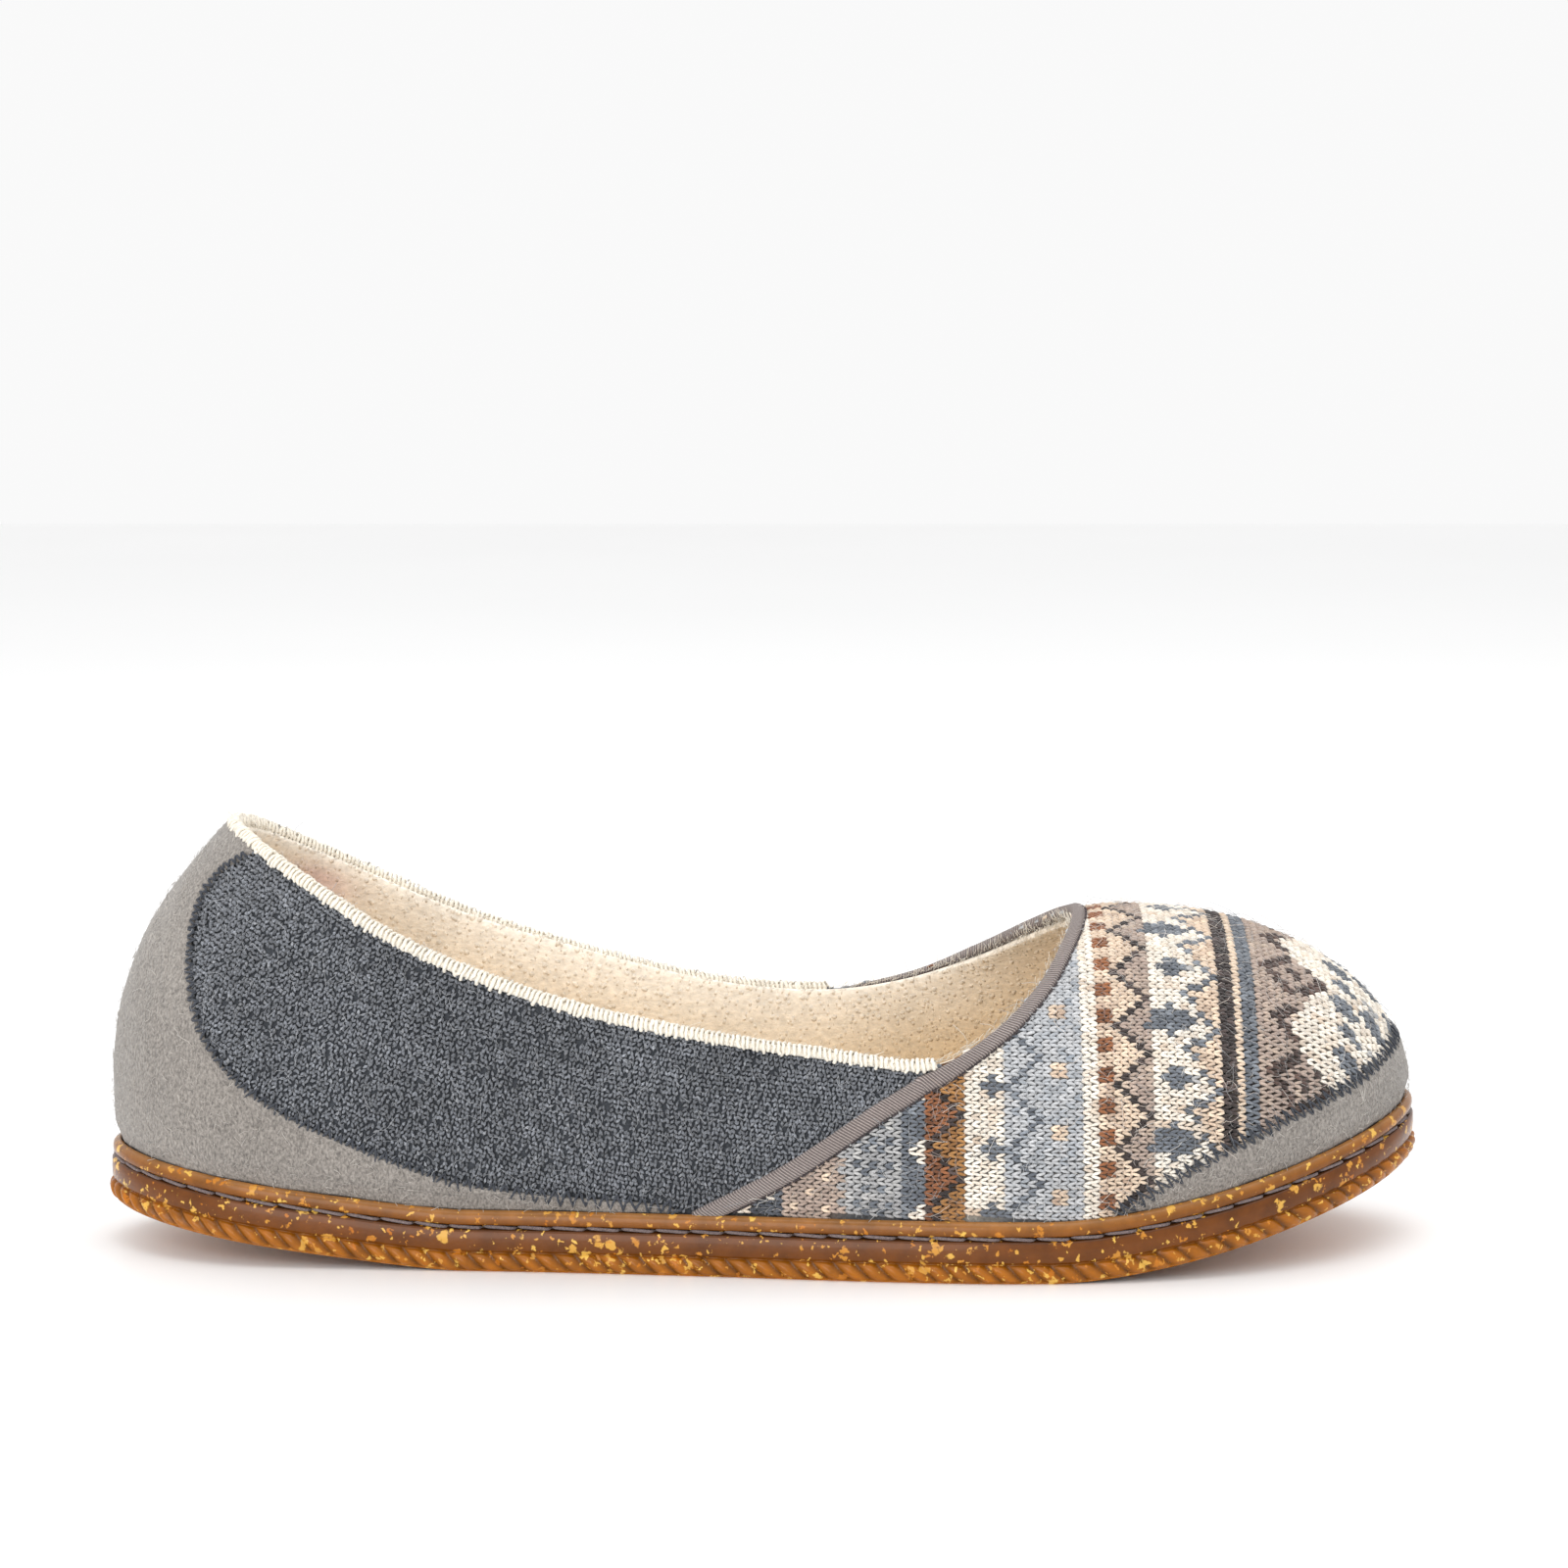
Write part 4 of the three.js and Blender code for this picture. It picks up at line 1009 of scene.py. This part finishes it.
CHARCOAL = fibrous("charcoal_yarn", None, 3200, 0.5, 0.12, 1.0, sheen=0.3)
places = layer(*quarter.T, chance.normal(0.0, 0.12, count))
sow("quarter_knit", SMALL_SEED, places, axes, CHARCOAL, heather, "knit", "upper")

# %% [markdown]
# Suede wraps the heel and the toe. Each panel is a sheet with a real thickness, cut along its panel line,
# that rolls over softly at its edges and is never quite even. Its short nap is bump, flecked by the dust
# that it holds.

# %% Suede
def make_suede():
    made, tree, shader = material("grey_suede", Roughness=0.95, Sheen_Weight=0.35, Sheen_Roughness=0.45,
                                  Specular_IOR_Level=0.12)
    effect = fibres(tree, (*srgb("8D8781"), 1), 2300, 0.5, 0.06, (1, 1, 0.6))
    fleck = remap(tree, noise(tree, own_place(tree), 900), 0.66, 0.72)
    surface(tree, shader, mix(tree, fleck, effect["Color"], "6F6A66"), effect["Height"], 1.0, 0.0004)
    return made


SUEDE = make_suede()
SUEDE_OFF = 1.05  # outer face off the skin
CUT_EDGE_OFF = 0.15  # the same where the edge rolls down to the knit
EDGE_ROLL = 2.6
SUEDE_UNDER = -0.35  # inner face, sunk in the knit
UNEVEN = ((0.12, 9, 5), (0.05, 2.2, 6))  # height, wavelength and seed


def suede_panel(name, node, u, h, edge):
    """Closed suede sheet over a grid of places; edge is each place's distance from the cut edge in mm."""
    rounding = np.sqrt(1 - (1 - np.clip(edge / EDGE_ROLL, 0, 1)) ** 2)
    _, up, out = skin_frame(u, h)
    pinch = np.interp(h * size_of(up), (0, 3.5), (0.2, 1))
    outer = layer(u, h, CUT_EDGE_OFF + (SUEDE_OFF - CUT_EDGE_OFF) * rounding * pinch)
    uneven = sum(height * ripple(outer, wavelength, seed) for height, wavelength, seed in UNEVEN)
    sheet = closed_sheet(outer + out * uneven[..., None], layer(u, h, SUEDE_UNDER))
    dress(build(name, *sheet, SUEDE), "suede", node)


level = np.linspace(0, 1, 46)[:, None] ** 1.4
across = np.linspace(-1, 1, 151)[None]
reach = along(COUNTER_EDGE, level) * np.where(across < 0, COUNTER_INNER_SHARE, 1)
counter_u = across * reach
counter_h = level * below_collar(counter_u, EDGING_LAP)
to_side = (1 - np.abs(across)) * np.abs(reach) * size_of(skin_frame(counter_u, counter_h)[0])
suede_panel("suede_heel_counter", "heel_counter", counter_u, counter_h, to_side)

bumper_from, bumper_to = BUMPER_EDGE[[0, -1], 0]
bumper_u = np.tile(np.linspace(bumper_from + 0.02, bumper_to - 0.02, 181), (19, 1))
bumper_top = np.maximum(along(BUMPER_EDGE, bumper_u), 0.004)
bumper_h = np.linspace(0, 1, 19)[:, None] * bumper_top
to_top = (bumper_top - bumper_h) * size_of(skin_frame(bumper_u, bumper_h)[1])
suede_panel("suede_toe_bumper", "toe_bumper", bumper_u, bumper_h, to_top)

# %% [markdown]
# The suede's edges are oversewn: a charcoal thread jumps back and forth over the edge and pulls the knit
# and the suede together. The zigzag is one long tube whose points swing from side to side of the panel
# line, lifted over the suede and sunk in the knit.

# %% Oversewn edges
ZIGZAG_STEPS = 8
OVERSEW_THREAD = fibrous("oversew_thread", "484B52", 3500, 0.4, 0.1, 0.9, sheen=0.1)


def even_run(u, h, pitch):
    """Places a pitch apart along a line of the skin; the pitch may differ from point to point."""
    length = size_of(np.diff(bare_skin(u, h), axis=0))
    run = np.concatenate([[0], np.cumsum(length / np.broadcast_to(pitch, u.shape)[1:])])
    at = np.arange(0, run[-1])
    return np.interp(at, run, u), np.interp(at, run, h)


def zigzag(name, u, h, suede_side, pitch, on_suede, on_knit, lean=0.0, thread=0.25):
    """Oversewing along a line; suede_side is 1 where the suede lies to the left of the line's run."""
    u, h = even_run(u, h, np.asarray(pitch) / ZIGZAG_STEPS)
    middle = layer(u, h, 0)
    out = skin_frame(u, h)[2]
    run = unit(np.gradient(middle, axis=0))
    left = np.cross(out, run)
    phase = np.arange(len(u)) / ZIGZAG_STEPS
    swing = 1 - 4 * np.abs(np.mod(phase, 1) - 0.5)
    tooth = chance.uniform(0.85, 1.15, int(phase[-1]) + 2)[phase.astype(int)]
    reach = np.where(swing > 0, on_suede, on_knit) * swing * tooth * np.interp(h, (0.2, 0.6), (1, 0.62))
    lift = 0.62 + 0.15 * (1 - np.abs(swing)) - 0.3 * np.abs(swing) ** 6 + 0.2 * np.clip(swing, 0, 1)
    path = middle + left * (reach * suede_side)[:, None] + out * lift[:, None] + run * (lean * reach)[:, None]
    path += chance.normal(0, 0.07, path.shape)
    dress(build(name, *tubes(path[None], thread, out[None]), OVERSEW_THREAD), "suede")


edge_h = np.linspace(0.002, 0.955, 300)
edge_u = along(COUNTER_EDGE, edge_h)
edge_pitch = np.interp(edge_h, (0, 0.35, 0.65, 1), (2.5, 2.3, 1.5, 1.4))
zigzag("oversewing_outer_quarter", edge_u, edge_h, 1, edge_pitch, 1.6, 1.2)
zigzag("oversewing_inner_quarter", STATIONS - edge_u * COUNTER_INNER_SHARE, edge_h, -1, edge_pitch, 1.6, 1.2)
edge_u = np.linspace(bumper_from + 0.03, bumper_to - 0.03, 400)
zigzag("oversewing_toe", edge_u, along(BUMPER_EDGE, edge_u), -1, 2.1, 1.5, 2.1, 0.35, 0.23)

# %% [markdown]
# A flat twill tape binds the throat and runs down both sides of the vamp to the sole. It is one ribbon:
# its middle line climbs the outer side, follows the throat's edge round and goes down the inner side.

# %% Throat tape
RIBS = 1.7  # ribs of the twill to a millimetre


def make_tape():
    """Twill whose ribs run aslant; the mesh tells each point's place along and across the tape."""
    made, tree, shader = material("mauve_tape", Roughness=0.75, Sheen_Weight=0.3, Sheen_Roughness=0.4,
                                  Specular_IOR_Level=0.25)
    place = add(tree, "ShaderNodeSeparateColor", {"Color": yarn_colour(tree)}).outputs
    slant = maths(tree, "MULTIPLY_ADD", place[1], 0.5, place[0])
    rib = maths(tree, "SINE", maths(tree, "MULTIPLY", slant, 2 * math.pi * RIBS))
    # The ribs' colour follows the same wave as their relief: painted light on the crests and painted shade in
    # the troughs.
    colour = mix(tree, remap(tree, rib, -1, 1), "6C5E5B", "C3B4AE")
    effect = fibres(tree, colour, 2400, 0.15, 0.06)
    surface(tree, shader, effect["Color"], rib, 1.0, 0.0003)
    return made


TAPE = make_tape()
TAPE_STEPS = 11
TAPE_LOW, TAPE_CORNER = -0.05, 0.955  # heights where the side runs start and give way to the throat's run
SMOOTHING = 12  # samples to either side over which the corners are rounded
side_h = np.linspace(TAPE_LOW, 1, 168)
side_h = side_h[side_h < TAPE_CORNER]
throat_u = np.linspace(BINDING_OUTER[-1, 1], BINDING_INNER[-1, 1], 420)[6:-6]


def joined(rising, throat, falling):
    """One smooth run of values up the outer side, round the throat and down the inner side."""
    values = np.concatenate([rising, throat, falling[::-1]])
    padded = np.pad(values, SMOOTHING, mode="edge")
    return np.convolve(padded, np.ones(2 * SMOOTHING + 1) / (2 * SMOOTHING + 1), "valid")


tape_u = joined(along(BINDING_OUTER, side_h), throat_u, along(BINDING_INNER, side_h))
tape_h = np.clip(joined(side_h, below_collar(throat_u, 1.25), side_h), TAPE_LOW, 1)
on_throat = joined(0 * side_h, np.ones(len(throat_u)), 0 * side_h)
middle = layer(tape_u, tape_h, 0)
out = skin_frame(tape_u, tape_h)[2]
left = np.cross(out, unit(np.gradient(middle, axis=0)))
share = np.linspace(-1, 1, TAPE_STEPS)
half_width = (1.8 - 0.35 * on_throat)[:, None, None]
crown = (1 - np.abs(share) ** 8) * 0.75 * TAPE_THICKNESS + 0.25
across_tape = left[:, None] * share[None, :, None] * half_width
far_face = middle[:, None] + across_tape + out[:, None] * crown[None, :, None]
over = on_throat[:, None] * np.clip((share[None] - 0.1) / 0.9, 0, 1) ** 2
near_face = middle[:, None] + across_tape - out[:, None] * (0.3 + 1.5 * over)[..., None]
for face in (far_face, near_face):
    face[..., 2] = np.maximum(face[..., 2], spring(face[..., 0]) + SOLE_HEIGHT - 0.45)
tape_run = run_of(middle)
weave = np.stack(np.broadcast_arrays(tape_run[:, None], share[None] * half_width[..., 0], 0.0), -1)
points, faces = closed_sheet(far_face, near_face)
dress(build("throat_tape", points, faces, TAPE, np.concatenate([weave.reshape(-1, 3)] * 2)),
      "tape", "throat_binding")

# Dark stitches along the tape's knit side; their dark thread also stands as painted shade for the gap between
# the tape and the knit.
TAPE_STITCH = 1.9
TAPE_THREAD_RADIUS = 0.2
stitch_at = np.arange(8, tape_run[-1] - 8, TAPE_STITCH)[:, None] + np.linspace(-0.7, 0.7, 5)[None]
foot = middle - left * (half_width[:, 0] + 0.12) + out * 0.42
stitch_path, stitch_out = (np.stack([np.interp(stitch_at, tape_run, column) for column in values.T], -1)
                           for values in (foot, out))
stitch_tubes = tubes(stitch_path, TAPE_THREAD_RADIUS, stitch_out, sides=4)
TAPE_THREAD = fibrous("tape_thread_and_gap_shade", "4B4345", 3500, 0.3, 0.1, 0.6, sheen=0.1)
dress(build("tape_stitching_and_gap_shade", *stitch_tubes, TAPE_THREAD), "tape")

# %% [markdown]
# The rest of the collar is overlocked: thick cream yarn is looped over the raw edge of knit and fleece, one
# loop beside the next, right round the heel. Each loop is a tube bent over the edge, and a soft roll of the
# same yarn fills in underneath.

# %% Overlocked collar
LOOP_SPACING = 1.0
LOOP_RADIUS = 0.36
LOOP_SHAPE = np.array([  # distance off the skin, and below the collar
    (0.7, 0.9), (1.0, 0.4), (1.1, -0.3), (0.9, -0.95), (0.3, -1.35), (-0.5, -1.35), (-1.3, -0.8),
    (-1.8, 0.3)])
EDGING_YARN = fibrous("overlock_yarn", "F1E9DA", 1500, 0.14, 0.05, 1.0, sheen=0.4)
TAPE_OVERLAP = 0.07  # stations from the tape's middle line to the first loop

edge_from = BINDING_INNER[-1, 1] + TAPE_OVERLAP
edge_to = STATIONS + BINDING_OUTER[-1, 1] - TAPE_OVERLAP
collar_u, _ = even_run(np.linspace(edge_from, edge_to, 1200), np.ones(1200), LOOP_SPACING)


def collar_path(u, shape):
    """Points of a section over the collar at stations u: off the skin and below its edge."""
    _, up, out = skin_frame(u, 1)
    rows = [layer(u, 1 - max(down, 0) / size_of(up), off) + unit(up) * max(-down, 0) for off, down in shape]
    return np.stack(rows, 1), np.stack([out] * len(shape), 1)


roll_u = np.linspace(edge_from, edge_to, 420)
roll_shape = LOOP_SHAPE + np.array([[-0.3, -0.2]] + [[-0.3, 0.1]] * 2 + [[-0.3, 0.5]] * 3 + [[0.2, 0.4]] * 2)
under_roll = [(0.1 - 1.2 * k / 7, max(0.5, down)) for k, (_, down) in enumerate(LOOP_SHAPE)]
roll = closed_sheet(*(collar_path(roll_u, shape)[0] for shape in (roll_shape, under_roll)))
dress(build("collar_roll", *roll, EDGING_YARN), "edging", "collar_edging")

loops, outs = collar_path(collar_u, LOOP_SHAPE)
lean = np.linspace(-0.5, 0.5, len(LOOP_SHAPE))[None, :, None] * LOOP_SPACING
loops = loops + unit(np.gradient(loops, axis=0)) * lean + chance.normal(0, 0.10, loops.shape)
loops[:, 0] += chance.normal(0, 0.22, (len(loops), 3))
loop_tubes = tubes(loops, LOOP_RADIUS * vary(0.85, 1.15, len(loops)), outs + 1e-3)
dress(build("collar_overlock", *loop_tubes, EDGING_YARN), "edging", "collar_edging")

# %% [markdown]
# Fleece is a pile: the lining's face is thousands of small tufts. Small seeds laid down the wall and combed
# a little give the soft look that a smooth shell lacks.

# %% Fleece pile
PILE_ROW = 1.2
PILE_DEPTH = 26
TUFT_SPACING = 1.35
TUFT_ROW = 430  # length of a row right round the lining
TUFT_OFF = -2.84  # off the skin, so just inside the lining's face
TUFT_SIZES = ((1.9, 2.7), (1.3, 1.8), (-0.75, -0.45))  # as for the loops, with the height turned inwards
pile = []
for depth in np.arange(0.2, PILE_DEPTH, PILE_ROW):
    row_at = even_stations(int(TUFT_ROW / TUFT_SPACING), 0.9)
    row_at = np.mod(row_at + chance.normal(0, 0.03, len(row_at)), STATIONS)
    pile.append([row_at, depth + chance.normal(0, 0.14, len(row_at))])
pile_u, pile_depth = np.concatenate(pile, axis=1)
pile_h = np.clip(below_collar(pile_u, pile_depth), 0.15, 1)
count = len(pile_u)
around, up, out = skin_frame(pile_u, pile_h)
spread = np.interp(np.abs(pile_u - TOE_STATION), (5, 9), (0.22, 0.9))
angle = (chance.normal(0, 1, count) * spread)[:, None]
lie = unit(around) * np.cos(angle) + unit(up) * np.sin(angle)
places = layer(pile_u, pile_h, TUFT_OFF + chance.normal(0, 0.07, count))
axes = sized(lie, out, TUFT_SIZES)
# The pile takes the lining's colours, with their painted shade deeper inside.
fleece_tone_and_shade = lining_colours_and_shade(pile_u, pile_depth) * vary(0.9, 1.06, count)
PILE = fibrous("fleece_pile", None, 1500, 0.16, 0.06, 1.0, sheen=0.4)
sow("fleece_pile", SMALL_SEED, places, axes, PILE, fleece_tone_and_shade, "fleece")

# %% [markdown]
# Wool is never clean-cut. Single fibres stand off every knitted face and off the suede's nap, and against
# the light they soften the slipper's outline. Each one is a hair-thin tube bent back towards the cloth.

# %% Stray fibres
FIBRE = fibrous("stray_fibre", None, 3000, 0.1, 0.05, 0.2, sheen=0.5)
VAMP_HAIRS = 2700
QUARTER_HAIRS = 1100
HEEL_HAIRS = 2600
TOE_HAIRS = 500
RIM_HAIRS = 1500


def hairs(name, slot, roots, outs, colours, lengths, radius=0.04, steps=5):
    """Fine curved fibres that stand off a cloth at its roots."""
    count = len(roots)
    aside = unit(np.cross(outs, chance.normal(size=(count, 3))))
    lift = vary(0.1, 0.9, count)
    bend = np.cross(outs, aside) * chance.normal(0, 0.8, (count, 1)) - outs * lift * 0.5
    reach = vary(*lengths, count)[..., None]
    t = np.linspace(0, 1, steps)[None, :, None]
    paths = roots[:, None] + reach * ((aside + outs * lift)[:, None] * t + bend[:, None] * t**2)
    paths = paths + reach * np.cross(outs, aside)[:, None] * np.sin(7 * t) * 0.12
    bodies = tubes(paths, radius, np.repeat((outs + 0.01)[:, None], steps, 1), sides=3)
    dress(build(name, *bodies, FIBRE, np.repeat(colours, 3 * steps + 2, axis=0)), slot)


picked = vamp[chance.integers(0, len(vamp), VAMP_HAIRS)]
tones = spun(*picked[:, 5:7].T) * 0.6 + 0.3
hairs("fibres_vamp", "knit", picked[:, :3], skin_frame(*picked[:, 3:5].T)[2], tones, (1.0, 4.0))
picked = quarter[chance.integers(0, len(quarter), QUARTER_HAIRS)]
tones = np.array(srgb("A3A5A9")) * vary(0.5, 1.5, len(picked))
hairs("fibres_quarters", "knit", layer(*picked.T, 0.3), skin_frame(*picked.T)[2], tones, (1.0, 3.0))
nap_u = chance.uniform(-4.4, 4.4, HEEL_HAIRS)
nap_h = chance.uniform(0, 0.96, HEEL_HAIRS)
on_counter = np.abs(nap_u) < along(COUNTER_EDGE, nap_h) * np.where(nap_u < 0, COUNTER_INNER_SHARE, 1) - 0.1
toe_u = chance.uniform(bumper_from, bumper_to, TOE_HAIRS)
toe_h = chance.uniform(0, 1, TOE_HAIRS) * along(BUMPER_EDGE, toe_u)
nap = np.concatenate([nap_u[on_counter], toe_u]), np.concatenate([nap_h[on_counter], toe_h])
tones = np.array(srgb("AFA9A2")) * vary(0.75, 1.5, len(nap[0]))
hairs("nap_fibres", "suede", layer(*nap, SUEDE_OFF), skin_frame(*nap)[2], tones, (0.6, 1.7), 0.045, 3)
fuzz_u = chance.uniform(0, STATIONS, RIM_HAIRS)
up = unit(skin_frame(fuzz_u, 1)[1])
tones = np.array(srgb("EFE6D6")) * vary(0.85, 1.05, len(fuzz_u))
hairs("fleece_fuzz", "fleece", layer(fuzz_u, 1, -1.6) + up * 0.6, up, tones, (0.8, 2.4), 0.05, 3)

# %% [markdown]
# The floor is pale and plain. The light is a studio's: a bright room all round, a broad lamp above and one
# in front, so that shadows stay soft and light.

# %% Floor, light and camera
FLOOR_REACH = 3.0
FLOOR_TONES = ((0.93, 0.93, 0.93, 1), (0.96, 0.96, 0.96, 1))


def make_floor():
    made, tree, shader = material("studio_floor", Roughness=0.35)
    cloud = noise(tree, own_place(tree), 3)
    tree.links.new(mix(tree, cloud, *FLOOR_TONES), shader.inputs["Base Color"])
    return made


floor_corners = [(x * FLOOR_REACH, y * FLOOR_REACH, 0) for x, y in ((-1, -1), (1, -1), (1, 1), (-1, 1))]
floor_mesh = bpy.data.meshes.new("studio_floor")
floor_mesh.from_pydata(floor_corners, [], [(0, 1, 2, 3)])
floor_mesh.materials.append(make_floor())
place_object("studio_floor", floor_mesh)


def lamp(name, place, size, watts):
    """Square area lamp that faces the slipper."""
    data = bpy.data.lights.new(name, "AREA")
    data.size, data.energy = size, watts
    made = place_object(name, data)
    made.location = place
    made.rotation_euler = (Vector((0, 0, 0.03)) - Vector(place)).to_track_quat("-Z", "Y").to_euler()


lamp("overhead_lamp", (0.1, 0.1, 1.3), 1.4, 9)
lamp("front_lamp", (-0.5, -1.3, 0.55), 1.0, 9)
world = bpy.data.worlds.new("bright_room")
world.use_nodes = True
sky = world.node_tree.nodes["Background"].inputs
sky["Color"].default_value = (1, 1, 1, 1)
sky["Strength"].default_value = 0.95
bpy.context.scene.world = world
bpy.context.scene.view_settings.view_transform = "Standard"

CAMERA_PLACE = (0.004, -0.867, 0.185)
CAMERA_PITCH = 6.15
lens = bpy.data.cameras.new("camera")
lens.lens, lens.sensor_width = 100, 36
lens.clip_start, lens.clip_end = 0.05, 20
camera = place_object("camera", lens)
camera.location = CAMERA_PLACE
camera.rotation_euler = (math.radians(90 - CAMERA_PITCH), 0, 0)
bpy.context.scene.camera = camera
